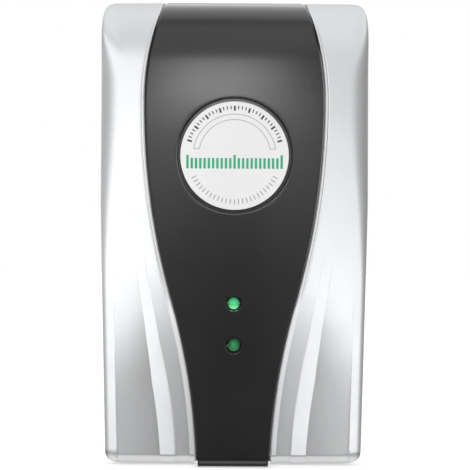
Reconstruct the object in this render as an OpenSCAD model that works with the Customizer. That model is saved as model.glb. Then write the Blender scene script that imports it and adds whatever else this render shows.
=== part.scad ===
// Plug-in energy saver box: a wall-held box with a round two-pin plug on its back.
// Frame: the plug's face lies at y = 0, midway between the pins; the front looks along -Y and +Z is up.
// Most modules work in the box frame: rear face at y = 0, depth counted toward the front, foot at z = 0.

/* [Box] */
// Overall height of the box
body_h = 120; // [100:1:150]
// Width across the shoulders
body_w = 69; // [60:1:90]
// Width at the foot
foot_w = 66; // [58:1:86]
// Height at which the sides start to taper toward the foot
taper_z = 68; // [50:1:90]
// Depth of the box without its plug
body_d = 36; // [34:1:46]
// Depth of the rear shell
rear_d = 14; // [13:0.5:16]
// Wall thickness of both shells
wall = 2.2; // [1.8:0.1:2.8]
// Corner radius at the top of the outline
top_corner_r = 3.9; // [3:0.1:6]
// Corner radius at the foot of the outline
foot_corner_r = 3.4; // [3:0.1:6]

/* [Front form] */
// Height of the fullest point of the front
crest_z = 76; // [60:1:90]
// Radius of the front, seen from the side
front_r = 700; // [500:10:1200]
// Radius of the front's crown, seen from above
crown_r = 190; // [150:5:260]
// Radius of the long front edges
edge_r = 5; // [4:0.5:7]
// Radius between the front and the top
brow_r = 10; // [6:0.5:14]
// Size of the bevel at the foot of the front
foot_bevel = 2; // [1:0.5:3]
// Radius of the rear shell's outer edges
back_r = 3; // [2:0.5:4]
// Depth of the hollow pressed into each lower wing
scoop_depth = 1.3; // [0.5:0.1:1.6]
// Radius of that hollow
scoop_r = 16; // [12:1:24]

/* [Centre panel] */
// Half width of the panel at its shoulders
panel_half = 23.3; // [20:0.1:25]
// Height of the panel's widest point
panel_z = 94; // [84:1:100]
// Radius of the panel's edge above that point
panel_top_r = 67; // [55:1:90]
// Radius of the panel's edge below that point
panel_mid_r = 186; // [170:1:200]
// Radius of the panel's waist near the foot
panel_low_r = 174; // [160:1:190]
// Height at which the edge turns from full to waisted
panel_turn_z = 43; // [38:1:48]
// Thickness of the panel
panel_t = 1.6; // [1.2:0.1:2]
// Gap round the panel
panel_gap = 0.25; // [0.15:0.05:0.4]
// Thickness of the shell's floor behind the panel
floor_t = 1.4; // [1:0.1:2]
// How far the panel's foot stands below the shell
foot_drop = 0.8; // [0.4:0.1:1.2]
// How far the panel's end tabs stay in front of the parting line
tab_stop = 4; // [3:0.5:6]

/* [Label and lamps] */
// Diameter of the round label
label_d = 27.9; // [20:0.1:32]
// Height of the label's centre
label_z = 80.2; // [72:0.1:88]
// Depth of the label's recess
label_recess = 0.5; // [0.4:0.05:0.7]
// Thickness of the label
label_t = 0.35; // [0.2:0.05:0.35]
// Diameter of a lamp
lamp_d = 3; // [3:0.1:3.2]
// Diameter of a lamp's hole in the panel
lamp_hole_d = 4; // [3.6:0.1:5]
// Height of the upper lamp
lamp_z = 42.2; // [36:0.1:48]
// Distance between the two lamps
lamp_pitch = 11; // [9:0.1:13]
// How far the upper lamp sits below the panel's surface
lamp_sink = 0.6; // [0.3:0.1:1.2]

/* [Plug] */
// Height of the plug's axis above the foot
plug_z = 75; // [60:1:85]
// Diameter of the plug's round body
plug_d = 37; // [35:0.1:38]
// How far the plug's body stands out of the back
plug_h = 16; // [15:0.5:20]
// Diameter of a pin
pin_d = 4.8; // [4:0.1:4.8]
// Length of a pin outside the plug's face
pin_l = 19; // [17:0.5:20]
// Distance between the pins
pin_pitch = 19; // [18:0.1:20]
// Width of the guide groove in each side of the plug
groove_w = 5.4; // [4:0.1:6]
// Depth of that groove
groove_d = 2.4; // [1.5:0.1:3]

/* [Circuit board] */
// Thickness of the board
board_t = 1.6; // [1:0.1:2]
// Distance from the box's back to the board
board_depth = 13; // [12.5:0.1:14]
// Free space between the board and the side walls
board_clear = 3; // [2:0.1:5]

/* [Screws] */
// Outer diameter of a screw post
post_d = 7; // [6:0.1:8]
// Diameter of the long screws that close the box
screw_d = 3; // [2.6:0.1:3.5]
// Length of the long screws
screw_l = 14; // [12:0.5:16]
// Diameter of the small screws inside
small_screw_d = 2.6; // [2.2:0.1:3]

/* [Hidden] */
$fn = 64;
fine = 360;      // smoothness of the wide sweeps
eps = 0.01;      // overshoot of a cut past the face that it leaves
far = 400;       // larger than the box in every direction
fit_gap = 0.05;  // radial gap of a part that sits tight in its hole
slack = 0.2;     // gap of a part that drops in freely

SILVER = [0.80, 0.81, 0.82];
BLACK = [0.10, 0.10, 0.11];
STEEL = [0.62, 0.63, 0.65];
NICKEL = [0.78, 0.76, 0.70];

// How far an arc of radius r falls away at distance d from its crest.
function sag(r, d) = r - sqrt(r * r - d * d);
// Depth of the front surface, from the box's back, at a place x, z.
function front_depth(x, z) =
    body_d - front_r + sqrt(pow(front_r - sag(crown_r, x), 2) - pow(z - crest_z, 2));

// ---- Placing helpers -------------------------------------------------------

// From the box frame to the part's own frame.
module in_box() {
    translate([0, -plug_h, -plug_z]) children();
}

// An outline in x and z, made solid between two depths.
module slab(from, to) {
    translate([0, -from, 0]) rotate([90, 0, 0]) linear_extrude(to - from) children();
}

// An outline in -depth and z, made solid across the width.
module across(w) {
    translate([-w / 2, 0, 0]) rotate([90, 0, 90]) linear_extrude(w) children();
}

// A round rod along the depth at x, z, between two depths.
module rod(x, z, d, from, to) {
    translate([x, -from, z]) rotate([90, 0, 0]) cylinder(d = d, h = to - from);
}

// A cone along the depth at x, z.
module taper_rod(x, z, d1, d2, from, to) {
    translate([x, -from, z]) rotate([90, 0, 0]) cylinder(d1 = d1, d2 = d2, h = to - from);
}

module both_sides() {
    children();
    mirror([1, 0, 0]) children();
}

// A round wire's bend of radius r through an angle, about +Z and starting on +X.
module wire_bend(r, angle, d) {
    rotate_extrude(angle = angle) translate([r, 0]) circle(d = d, $fn = 24);
}

// ---- Outlines --------------------------------------------------------------

// Front view of the box, drawn in by i all round; its foot stands at lift.
module box_outline(i, lift) {
    w = body_w / 2 - i;
    f = foot_w / 2 - i;
    top = body_h - i;
    foot = lift + i;
    rt = max(top_corner_r - i, 0.6);
    rf = max(foot_corner_r - i, 0.6);
    polygon([
        [-(f - rf), foot], [f - rf, foot], [f, foot + rf], [w, taper_z], [w, top - rt],
        [w - rt, top], [-(w - rt), top], [-w, top - rt], [-w, taper_z], [-f, foot + rf]
    ]);
    both_sides() {
        translate([w - rt, top - rt]) circle(rt);
        translate([f - rf, foot + rf]) circle(rf);
    }
}

// The vase-shaped outline of the centre panel, grown by g all round.
module panel_outline(g) {
    turn_angle = asin((panel_z - panel_turn_z) / panel_mid_r);
    turn_half = panel_half - sag(panel_mid_r, panel_z - panel_turn_z);
    low_x = turn_half + panel_low_r * cos(turn_angle);
    low_z = panel_turn_z - panel_low_r * sin(turn_angle);
    turn_z = panel_turn_z - g * sin(turn_angle);
    intersection() {
        translate([panel_top_r - panel_half, panel_z]) circle(panel_top_r + g, $fn = fine);
        translate([panel_half - panel_top_r, panel_z]) circle(panel_top_r + g, $fn = fine);
        translate([-far / 2, panel_z]) square([far, far]);
    }
    intersection() {
        translate([panel_mid_r - panel_half, panel_z]) circle(panel_mid_r + g, $fn = fine);
        translate([panel_half - panel_mid_r, panel_z]) circle(panel_mid_r + g, $fn = fine);
        translate([-far / 2, turn_z]) square([far, panel_z - turn_z]);
    }
    difference() {
        translate([-body_w / 2, -body_h / 4]) square([body_w, turn_z + body_h / 4]);
        both_sides() translate([low_x, low_z]) circle(panel_low_r - g, $fn = fine);
    }
}

// ---- The full form of the front, drawn in by i ------------------------------

// How far a rounding's arc stands outside the faces that it joins, so that it cuts them cleanly.
lead_in = 0.4;

// The crown, cut across the box and drawn in by i, wider than the box itself.
module crown_section(i) {
    inner = front_r - 1.5 * body_d;
    intersection() {
        translate([front_r - crown_r, 0]) circle(crown_r - i, $fn = fine);
        translate([inner, -body_w * 0.6]) square([far, body_w * 1.2]);
    }
}

// The crown swept down and up the box about a cross axis far behind the front.
module front_sweep(i) {
    span = 12;   // degrees below and above the crest, past both ends of the box
    translate([0, front_r - body_d, crest_z])
        rotate([-90, 0, 0]) rotate([0, 90, 0]) rotate([0, 0, -span])
            rotate_extrude(angle = 2 * span, $fn = fine * 4) crown_section(i);
}

// Side view of the front with its rounded brow and bevelled foot, drawn in by i.
module side_outline(i, lift) {
    top = body_h - i;
    foot = lift + i;
    brow_z = body_h - brow_r;
    brow_y = brow_r - front_depth(0, brow_z) - lead_in;
    foot_y = i - front_depth(0, lift);
    difference() {
        translate([-far, foot]) square([far, top - foot]);
        difference() {
            translate([-far, brow_z]) square([far + brow_y, far]);
            translate([brow_y, brow_z]) circle(brow_r - i);
        }
        polygon([
            [foot_y + foot_bevel, foot], [foot_y - foot_bevel, foot + 2 * foot_bevel],
            [-far, foot + 2 * foot_bevel], [-far, foot - 1], [foot_y + foot_bevel, foot - 1]
        ]);
    }
}

// Plan view of the front with its rounded long edges, drawn in by i.
module edge_outline(i) {
    edge_x = body_w / 2 + lead_in - edge_r;
    edge_y = edge_r - front_depth(edge_x, crest_z) - lead_in;
    difference() {
        translate([-far / 2, -far]) square([far, far]);
        both_sides() difference() {
            translate([edge_x, -far]) square([far, far + edge_y]);
            translate([edge_x, edge_y]) circle(edge_r - i);
        }
    }
}

// Everything inside the front's surface, drawn in by i, from the back plane forward.
module front_form(i, lift) {
    intersection() {
        slab(0, 2 * body_d) box_outline(i, lift);
        across(far) side_outline(i, lift);
        linear_extrude(far) edge_outline(i);
        front_sweep(i);
    }
}

// The form of the centre panel: its own foot, and its prism grown by g.
module panel_form(i, g) {
    intersection() {
        front_form(i, 0);
        slab(rear_d + tab_stop - g, 2 * body_d) panel_outline(g);
    }
}

// The hollow pressed into each lower wing, grown by g.
scoop_top = [27.5, 50];
scoop_foot = [25, 3];
module scoops(g) {
    top_y = -(front_depth(scoop_top[0], scoop_top[1]) + scoop_r);
    foot_y = -(front_depth(scoop_foot[0], scoop_foot[1]) + scoop_r - scoop_depth);
    run = [scoop_top[0] - scoop_foot[0], top_y - foot_y, scoop_top[1] - scoop_foot[1]];
    over = 0.6;
    both_sides()
        translate([scoop_foot[0], foot_y, scoop_foot[1]])
            rotate([0, acos(run[2] / norm(run)), atan2(run[1], run[0])])
                translate([0, 0, -norm(run) * over / 2])
                    cylinder(r = scoop_r + g, h = norm(run) * (1 + over), $fn = 128);
}

// ---- Shared places ----------------------------------------------------------

post_x = foot_w / 2 - wall - post_d / 2 - 1;
post_low_z = foot_drop + wall + post_d / 2 + 2;
post_high_z = body_h - wall - post_d / 2 - 4;
head_sink = 8;            // depth of the screw heads below the back
head_d = 2 * screw_d;     // diameter of a screw head
head_h = 2.4;
pilot_gap = 0.1;          // radial gap between a screw and the plastic that it bites

board_half_w = foot_w / 2 - wall - board_clear;
board_low_z = post_low_z + post_d / 2 + 1.5;
board_high_z = post_high_z - post_d / 2 - 1.5;
board_face = board_depth + board_t;   // depth of the side that carries the parts
board_post_d = 6;
board_post_inset = 4;
board_screw_l = 6;

cup_wall = 2.5;           // wall of the hollow plug insert
cup_face = 5;             // thickness behind the plug's face
cup_rim = 3;              // how far the insert reaches past the shell's inner wall
ear_t = 2.2;
ear_post_d = 6;
ear_x = plug_d / 2 + ear_post_d / 2 + 0.6;
ear_screw_l = 5;

tongue_t = 1;             // tongue of the rear shell
tongue_h = 1.5;
plate_w = 40;
plate_h = 27;
plate_t = 0.2;
plate_z = 30;

peg_d = 2;
peg_places = [[6, 18], [13, 60], [14, 104]];

lamp_places = [[lamp_z, lamp_sink], [lamp_z - lamp_pitch, lamp_sink + 0.6]];
lamp_l = 5.3;
lamp_rim_d = 3.8;
lamp_rim_t = 1;
lamp_leg = 1.27;          // half the distance between a lamp's legs
spacer_d = 4.4;

module at_shell_posts() {
    for (side = [-1, 1], z = [post_low_z, post_high_z]) translate([side * post_x, 0, z]) children();
}

module at_board_posts() {
    for (side = [-1, 1], z = [board_low_z + board_post_inset, board_high_z - board_post_inset])
        translate([side * (board_half_w - board_post_inset), 0, z]) children();
}

module at_plug_ears() {
    for (side = [-1, 1]) translate([0, 0, plug_z + side * ear_x]) children();
}

module at_pegs() {
    for (side = [-1, 1], p = peg_places) translate([side * p[0], 0, p[1]]) children();
}

// ---- Shells and trim ---------------------------------------------------------

module front_shell() color(SILVER) in_box() {
    floor_depth = panel_t + panel_gap;
    difference() {
        intersection() {
            front_form(0, foot_drop);
            slab(rear_d, 2 * body_d) square([far, 2 * far], center = true);
        }
        scoops(0);
        // channel for the centre panel
        difference() {
            slab(rear_d + tab_stop - panel_gap, 2 * body_d) panel_outline(panel_gap);
            front_form(floor_depth, 0);
        }
        // hollow inside, thicker behind the panel and around the screw posts
        difference() {
            intersection() {
                front_form(wall, foot_drop);
                slab(rear_d - eps, 2 * body_d) square([far, 2 * far], center = true);
            }
            scoops(wall);
            difference() {
                slab(0, 2 * body_d) panel_outline(floor_t + panel_gap);
                front_form(floor_depth + floor_t, 0);
            }
            at_shell_posts() rod(0, 0, post_d, rear_d, 2 * body_d);
        }
        // step that takes the rear shell's tongue
        slab(rear_d - eps, rear_d + tongue_h + slack) difference() {
            box_outline(wall - tongue_t - slack, foot_drop);
            box_outline(wall + eps, foot_drop);
        }
        at_shell_posts() rod(0, 0, screw_d + 2 * pilot_gap, rear_d - eps, screw_l + head_sink + 1);
        for (p = lamp_places) rod(0, p[0], lamp_d + 2 * slack, rear_d, 2 * body_d);
        at_pegs() rod(0, 0, peg_d + 2 * fit_gap, rear_d, 2 * body_d);
    }
}

module centre_panel() color(BLACK) in_box() {
    difference() {
        union() {
            difference() {
                panel_form(0, 0);
                front_form(panel_t, 0);
            }
            intersection() {
                at_pegs() rod(0, 0, peg_d, rear_d, 2 * body_d);
                difference() {
                    front_form(panel_t / 2, 0);
                    front_form(panel_t + panel_gap + floor_t + 1, 0);
                }
            }
        }
        for (p = lamp_places) rod(0, p[0], lamp_hole_d, rear_d, 2 * body_d);
        difference() {
            rod(0, label_z, label_d + 1.2, rear_d, 2 * body_d);
            front_form(label_recess, 0);
        }
    }
}

module label_disc() color([0.86, 0.87, 0.86]) in_box() {
    intersection() {
        rod(0, label_z, label_d, rear_d, 2 * body_d);
        difference() {
            front_form(label_recess - label_t, 0);
            front_form(label_recess, 0);
        }
    }
}

// Outer form of the rear shell, drawn in by i.
module rear_form(i) {
    r = back_r - i > 0.6 ? back_r - i : 0.6;
    intersection() {
        slab(i, rear_d) box_outline(i, foot_drop);
        across(far) union() {
            translate([-far, foot_drop + i]) square([far - i - r, body_h - foot_drop - 2 * i]);
            translate([-far, foot_drop + i + r]) square([far - i, body_h - foot_drop - 2 * i - 2 * r]);
            translate([-i - r, foot_drop + i + r]) circle(r);
            translate([-i - r, body_h - i - r]) circle(r);
        }
        linear_extrude(far) {
            w = body_w / 2 - i;
            translate([-w, -far]) square([2 * w, far - i - r]);
            translate([-(w - r), -far]) square([2 * (w - r), far - i]);
            for (side = [-1, 1]) translate([side * (w - r), -i - r]) circle(r);
        }
    }
}

module rear_shell() color(BLACK) in_box() {
    difference() {
        union() {
            difference() {
                rear_form(0);
                intersection() {
                    rear_form(wall);
                    slab(0, rear_d) box_outline(wall, foot_drop);
                }
            }
            slab(rear_d - tongue_h, rear_d + tongue_h) difference() {
                box_outline(wall - tongue_t, foot_drop);
                box_outline(wall, foot_drop);
            }
            at_shell_posts() rod(0, 0, post_d, wall / 2, rear_d);
            at_board_posts() rod(0, 0, board_post_d, wall / 2, board_depth);
            at_plug_ears() rod(0, 0, ear_post_d, wall / 2, wall + cup_rim);
        }
        at_shell_posts() {
            rod(0, 0, screw_d + 2 * slack, -eps, rear_d + eps);
            rod(0, 0, head_d + 2 * slack, -eps, head_sink);
        }
        at_board_posts() rod(0, 0, small_screw_d + 2 * pilot_gap, board_depth - board_screw_l, board_depth + eps);
        at_plug_ears() rod(0, 0, small_screw_d + 2 * pilot_gap, wall, wall + cup_rim + eps);
        rod(0, plug_z, plug_d + 2 * slack, -eps, wall + cup_rim + eps);
        slab(-eps, plate_t) translate([-plate_w / 2 - slack, plate_z - plate_h / 2 - slack])
            square([plate_w + 2 * slack, plate_h + 2 * slack]);
    }
}

module rating_plate() color([0.72, 0.73, 0.74]) in_box() {
    slab(0, plate_t) translate([-plate_w / 2, plate_z - plate_h / 2]) square([plate_w, plate_h]);
}

// ---- Plug -------------------------------------------------------------------

module plug_base() color(BLACK) in_box() {
    ear_from = wall + cup_rim;
    difference() {
        union() {
            rod(0, plug_z, plug_d, -plug_h, ear_from + ear_t);
            slab(ear_from, ear_from + ear_t) {
                square_w = ear_post_d;
                translate([-square_w / 2, plug_z - ear_x]) square([square_w, 2 * ear_x]);
                for (side = [-1, 1]) translate([0, plug_z + side * ear_x]) circle(d = ear_post_d);
            }
        }
        rod(0, plug_z, plug_d - 2 * cup_wall, -plug_h + cup_face, ear_from + ear_t + eps);
        // guide grooves for the socket, blind at the box
        both_sides() slab(-plug_h - eps, 0)
            translate([plug_d / 2 - groove_d, plug_z - groove_w / 2]) square([far, groove_w]);
        for (side = [-1, 1]) {
            rod(side * pin_pitch / 2, plug_z, pin_shank_d + 2 * fit_gap, -plug_h - eps, -plug_h + cup_face + eps);
            rod(side * pin_pitch / 2, plug_z, pin_d + 0.6, -plug_h - eps, -plug_h + pin_ring);
        }
        at_plug_ears() rod(0, 0, small_screw_d + 2 * slack, 0, ear_from + ear_t + eps);
    }
}

pin_shank_d = pin_d - 0.8;
pin_ring = 0.6;           // shallow ring sunk round each pin
pin_tip = 1.2;            // length of the pin's chamfered tip
pin_tail_l = 5;           // solder tail inside the insert
pin_tail_d = 2.4;
tail_end = -plug_h + cup_face + pin_tail_l;

module plug_pin(side) color(NICKEL) in_box() {
    x = side * pin_pitch / 2;
    rod(x, plug_z, pin_d, -plug_h - pin_l + pin_tip, -plug_h);
    taper_rod(x, plug_z, pin_d / 2, pin_d, -plug_h - pin_l, -plug_h - pin_l + pin_tip);
    rod(x, plug_z, pin_shank_d, -plug_h, -plug_h + cup_face);
    rod(x, plug_z, pin_tail_d, -plug_h + cup_face, tail_end);
}

module plug_pin_left() plug_pin(-1);
module plug_pin_right() plug_pin(1);

// ---- Screws -----------------------------------------------------------------

// A cross-head screw along the depth: its head's underside at depth seat, its shank running forward
// (toward = 1) or back (toward = -1).
module screw(d, l, head, head_t, seat, toward) {
    translate([0, -seat, 0]) rotate([toward > 0 ? 90 : -90, 0, 0]) difference() {
        union() {
            cylinder(d = d, h = l - d / 2);
            translate([0, 0, l - d / 2]) cylinder(d1 = d, d2 = d / 2, h = d / 2);
            translate([0, 0, -head_t]) cylinder(d1 = head * 0.8, d2 = head, h = head_t / 2);
            translate([0, 0, -head_t / 2]) cylinder(d = head, h = head_t / 2);
        }
        for (turn = [0, 90]) rotate(turn)
            translate([-head * 0.3, -head * 0.06, -head_t - eps]) cube([head * 0.6, head * 0.12, head_t * 0.6]);
    }
}

module shell_screws() color(STEEL) in_box() {
    at_shell_posts() screw(screw_d, screw_l, head_d, head_h, head_sink, 1);
}

module plug_base_screws() color(STEEL) in_box() {
    at_plug_ears() screw(small_screw_d, ear_screw_l, 4.6, 1.8, wall + cup_rim + ear_t, -1);
}

module board_screws() color(STEEL) in_box() {
    at_board_posts() screw(small_screw_d, board_screw_l, 4.6, 1.8, board_face, -1);
}

// ---- Circuit board and its parts ---------------------------------------------

film_size = [41.5, 14, 30];     // width, depth, height
film_z = 86;
film_leg = 18.75;
dropper_size = [18, 13, 8];
dropper_place = [-15, 60];
dropper_leg = 7.5;
can_d = 8;
can_l = 12;
can_place = [17, 60];
can_leg = 1.75;
disc_d = 10;
disc_t = 4;
disc_place = [4, 60];
disc_leg = 2.5;
fuse_d = 5;
fuse_l = 20;
fuse_cap_l = 5;
fuse_place = [-16, 50];
diode_size = [2.7, 5.2];        // diameter, length
diode_places = [for (n = [0 : 3]) [8 + 4.5 * n, 47]];
resistor_size = [3.2, 9];
resistor_places = [for (n = [0 : 2]) [-20 + 5 * n, 34]];
lead_d = 0.7;
lead_gap = 0.15;                // radial gap between a leg and its hole in the board
leg_out = 1.6;                  // how far a leg stands out behind the board
wire_d = 1.8;
wire_x = 12;                    // where the two mains wires meet the board
wire_angle = 14;                // how far each wire leans between its bends

// Every leg's place in the board, and the depth that it reaches toward the front.
stand_legs = concat(
    [for (side = [-1, 1]) [side * film_leg, film_z, board_face]],
    [for (side = [-1, 1]) [dropper_place[0] + side * dropper_leg, dropper_place[1], board_face]],
    [for (side = [-1, 1]) [can_place[0] + side * can_leg, can_place[1], board_face]],
    [for (side = [-1, 1]) [disc_place[0] + side * disc_leg, disc_place[1], board_face + 1]],
    [for (p = lamp_places, side = [-1, 1]) [side * lamp_leg, p[0], lamp_base(p)]]
);
// Every axial part: its place, diameter, body length, and the turn of its axis from upright.
axial_parts = concat(
    [for (p = diode_places) [p[0], p[1], diode_size[0], diode_size[1], 0]],
    [for (p = resistor_places) [p[0], p[1], resistor_size[0], resistor_size[1], 0]],
    [[fuse_place[0], fuse_place[1], fuse_d + 0.4, fuse_l, 90]]
);
leg_reach = 2;                  // how far an axial part's leg runs out before it turns down
leg_bend = 1;                   // radius of that turn

// Depth of a lamp's underside, so that its tip lies just below the panel's surface.
function lamp_base(p) = front_depth(0, p[0]) - p[1] - lamp_l;

function axial_ends(a) = let (s = a[3] / 2 + leg_reach, c = cos(a[4]), n = sin(a[4]))
    [[a[0] + s * n, a[1] + s * c], [a[0] - s * n, a[1] - s * c]];

leg_places = concat(
    [for (l = stand_legs) [l[0], l[1]]],
    [for (a = axial_parts) each axial_ends(a)]
);

module circuit_board() color([0.45, 0.33, 0.16]) in_box() {
    difference() {
        slab(board_depth, board_face)
            translate([-board_half_w, board_low_z]) square([2 * board_half_w, board_high_z - board_low_z]);
        for (p = leg_places) rod(p[0], p[1], lead_d + 2 * lead_gap, board_depth - eps, board_face + eps);
        at_board_posts() rod(0, 0, small_screw_d + 2 * slack, board_depth - eps, board_face + eps);
    }
}

module lamp(p) in_box() {
    base = lamp_base(p);
    tip = base + lamp_l;
    rod(0, p[0], lamp_rim_d, base, base + lamp_rim_t);
    rod(0, p[0], lamp_d, base + lamp_rim_t, tip - lamp_d / 2);
    translate([0, -(tip - lamp_d / 2), p[0]]) sphere(d = lamp_d);
}

module upper_led() color([0.10, 0.62, 0.28]) lamp(lamp_places[0]);
module lower_led() color([0.10, 0.62, 0.28]) lamp(lamp_places[1]);

module led_spacers() color([0.03, 0.03, 0.032]) in_box() {
    for (p = lamp_places) difference() {
        rod(0, p[0], spacer_d, board_face, lamp_base(p));
        for (side = [-1, 1])
            rod(side * lamp_leg, p[0], lead_d + 2 * lead_gap, board_face - eps, lamp_base(p) + eps);
    }
}

// A box on the board, centred at x, z, with its underside on the board.
module board_box(place, size) {
    translate([place[0] - size[0] / 2, -board_face - size[1], place[1] - size[2] / 2]) cube(size);
}

module film_capacitor() color([0.90, 0.90, 0.88]) in_box() board_box([0, film_z], film_size);

module dropper_capacitor() color([0.88, 0.70, 0.20]) in_box() board_box(dropper_place, dropper_size);

module smoothing_capacitor() color([0.12, 0.16, 0.30]) in_box() {
    rod(can_place[0], can_place[1], can_d, board_face, board_face + can_l);
}

module varistor() color([0.15, 0.30, 0.62]) in_box() {
    translate([disc_place[0], -(board_face + 1 + disc_d / 2), disc_place[1] - disc_t / 2])
        cylinder(d = disc_d, h = disc_t);
}

module axial_body(a, d, from, to) {
    translate([a[0], -(board_face + a[2] / 2), a[1]]) rotate([0, a[4], 0])
        translate([0, 0, from]) cylinder(d = d, h = to - from);
}

module fuse_tube() color([0.85, 0.90, 0.90]) in_box() {
    a = axial_parts[len(axial_parts) - 1];
    axial_body(a, fuse_d, -fuse_l / 2 + fuse_cap_l, fuse_l / 2 - fuse_cap_l);
}

module fuse_caps() color(NICKEL) in_box() {
    a = axial_parts[len(axial_parts) - 1];
    axial_body(a, a[2], -fuse_l / 2, -fuse_l / 2 + fuse_cap_l);
    axial_body(a, a[2], fuse_l / 2 - fuse_cap_l, fuse_l / 2);
}

module rectifier_diodes() color([0.12, 0.12, 0.12]) in_box() {
    for (n = [0 : 3]) axial_body(axial_parts[n], diode_size[0], -diode_size[1] / 2, diode_size[1] / 2);
}

module resistors() color([0.55, 0.70, 0.78]) in_box() {
    for (n = [4 : 6]) axial_body(axial_parts[n], resistor_size[0], -resistor_size[1] / 2, resistor_size[1] / 2);
}

// An axial part's two legs: straight out of the body, bent, and down through the board.
module axial_legs(a) {
    rise = board_face + a[2] / 2;
    down = rise - leg_bend - board_depth + leg_out;
    for (turn = [0, 180]) translate([a[0], -rise, a[1]]) rotate([0, a[4] + turn, 0])
        translate([0, 0, a[3] / 2]) {
            cylinder(d = lead_d, h = leg_reach - leg_bend, $fn = 24);
            translate([0, leg_bend, leg_reach - leg_bend]) {
                rotate([90, 0, 0]) rotate([0, -90, 0]) wire_bend(leg_bend, 90, lead_d);
                translate([0, 0, leg_bend]) rotate([-90, 0, 0]) cylinder(d = lead_d, h = down, $fn = 24);
            }
        }
}

module component_leads() color(STEEL) in_box() {
    for (l = stand_legs) rod(l[0], l[1], lead_d, board_depth - leg_out, l[2]);
    for (a = axial_parts) axial_legs(a);
}

module solder_joints() color([0.75, 0.76, 0.78]) in_box() {
    for (p = leg_places) difference() {
        taper_rod(p[0], p[1], 1.2, 2.4, board_depth - 1, board_depth);
        rod(p[0], p[1], lead_d + 2 * fit_gap, board_depth - 1 - eps, board_depth + eps);
    }
}

// An insulated wire from the right pin's tail to the back of the board, with one slanted stretch
// between two slightly fuller bends.
module mains_wire() {
    x = pin_pitch / 2;
    shift = wire_x - x;
    rise = shift / tan(wire_angle);
    start = (tail_end + board_depth - rise) / 2;
    rod(x, plug_z, wire_d, tail_end, start);
    translate([x, -start, plug_z]) rotate([90, 0, wire_angle])
        cylinder(d = wire_d, h = shift / sin(wire_angle));
    rod(wire_x, plug_z, wire_d, start + rise, board_depth);
    translate([x, -start, plug_z]) sphere(d = wire_d * 1.04);
    translate([wire_x, -start - rise, plug_z]) sphere(d = wire_d * 1.04);
}

module live_wire() color([0.48, 0.26, 0.12]) in_box() mirror([1, 0, 0]) mains_wire();
module neutral_wire() color([0.13, 0.30, 0.62]) in_box() mains_wire();

front_shell();
centre_panel();
label_disc();
rear_shell();
rating_plate();
plug_base();
plug_pin_left();
plug_pin_right();
plug_base_screws();
shell_screws();
circuit_board();
board_screws();
upper_led();
lower_led();
led_spacers();
film_capacitor();
dropper_capacitor();
smoothing_capacitor();
varistor();
fuse_tube();
fuse_caps();
rectifier_diodes();
resistors();
component_leads();
solder_joints();
live_wire();
neutral_wire();
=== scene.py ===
"""A plug-in energy saver box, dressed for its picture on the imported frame.

Lengths in the classes are millimetres in the box's own frame: x across, u the depth counted from
the box's back toward the front, z the height over the foot. to_row turns them into metres in the
row frame.
"""
from __future__ import annotations

import logging
import math
from dataclasses import dataclass, field
from enum import Enum
from typing import Callable, Sequence

import bmesh
import bpy
import numpy as np
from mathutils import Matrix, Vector


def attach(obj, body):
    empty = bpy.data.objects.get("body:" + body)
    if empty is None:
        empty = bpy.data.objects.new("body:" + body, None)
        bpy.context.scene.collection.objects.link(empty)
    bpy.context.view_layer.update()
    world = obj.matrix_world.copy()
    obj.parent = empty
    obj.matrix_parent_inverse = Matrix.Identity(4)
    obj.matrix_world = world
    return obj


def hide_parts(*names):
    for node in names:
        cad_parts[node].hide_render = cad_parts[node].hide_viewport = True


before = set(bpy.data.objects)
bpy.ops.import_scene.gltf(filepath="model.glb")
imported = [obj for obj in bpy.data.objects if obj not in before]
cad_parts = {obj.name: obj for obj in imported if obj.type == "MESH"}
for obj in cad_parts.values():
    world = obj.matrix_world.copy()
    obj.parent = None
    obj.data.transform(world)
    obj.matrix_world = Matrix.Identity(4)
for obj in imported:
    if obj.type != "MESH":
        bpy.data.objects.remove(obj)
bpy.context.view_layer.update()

log = logging.getLogger("energy_saver_box")

MM = 0.001
PLUG_STAND = 16.0  # how far the plug's face stands behind the box's back
PLUG_AXIS_Z = 75.0  # height of the plug's axis over the foot
CREASE = math.radians(50.0)  # an edge that turns by more stays crisp
MERGE = 2e-6  # metres within which points are one

Colour = tuple[float, float, float]
Pair = tuple[float, float]
Rows = tuple[float, float, int]
Block = tuple[int, int, int, int]
Depth = Callable[[np.ndarray, np.ndarray], np.ndarray]
Socket = bpy.types.NodeSocket
Material = bpy.types.Material
Piece = bpy.types.Object


class Side(Enum):
    """The two mirrored sides of the box, as seen from the front."""

    LEFT = -1
    RIGHT = 1


class Grain(Enum):
    """How a surface is broken up: feature size and bump height, both in metres."""

    FLAKE = (0.00045, 0.000004)
    SPARK = (0.00035, 0.000012)
    SATIN = (0.0006, 0.000006)
    SMOOTH = (0.0020, 0.000004)


# ---- Meshes ---------------------------------------------------------------------------------


def to_row(points: np.ndarray) -> np.ndarray:
    """Turns millimetres of the box frame into metres: X = x, Y = -(stand + u), Z = z - axis.

    Args:
        points: Array whose last axis holds x, u and z.

    Returns:
        An array of the same shape in the row frame.
    """
    x, u, z = points[..., 0], points[..., 1], points[..., 2]
    return np.stack([x, -(PLUG_STAND + u), z - PLUG_AXIS_Z], -1) * MM


def ramp(
    start: float | np.ndarray, end: float | np.ndarray, value: np.ndarray
) -> np.ndarray:
    """Smooth step 3t^2 - 2t^3, where t runs from 0 at start to 1 at end.

    Args:
        start: Where the step begins.
        end: Where the step is complete.
        value: The values to grade.

    Returns:
        Values from 0 to 1.
    """
    t = np.clip((value - start) / (end - start), 0.0, 1.0)
    return t * t * (3.0 - 2.0 * t)


def roll_off(share: np.ndarray, power: float) -> np.ndarray:
    """How far an edge has rolled off, from 0 to 1: 1 - (1 - share^power)^(1/power)."""
    return 1.0 - (1.0 - share**power) ** (1.0 / power)


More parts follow.
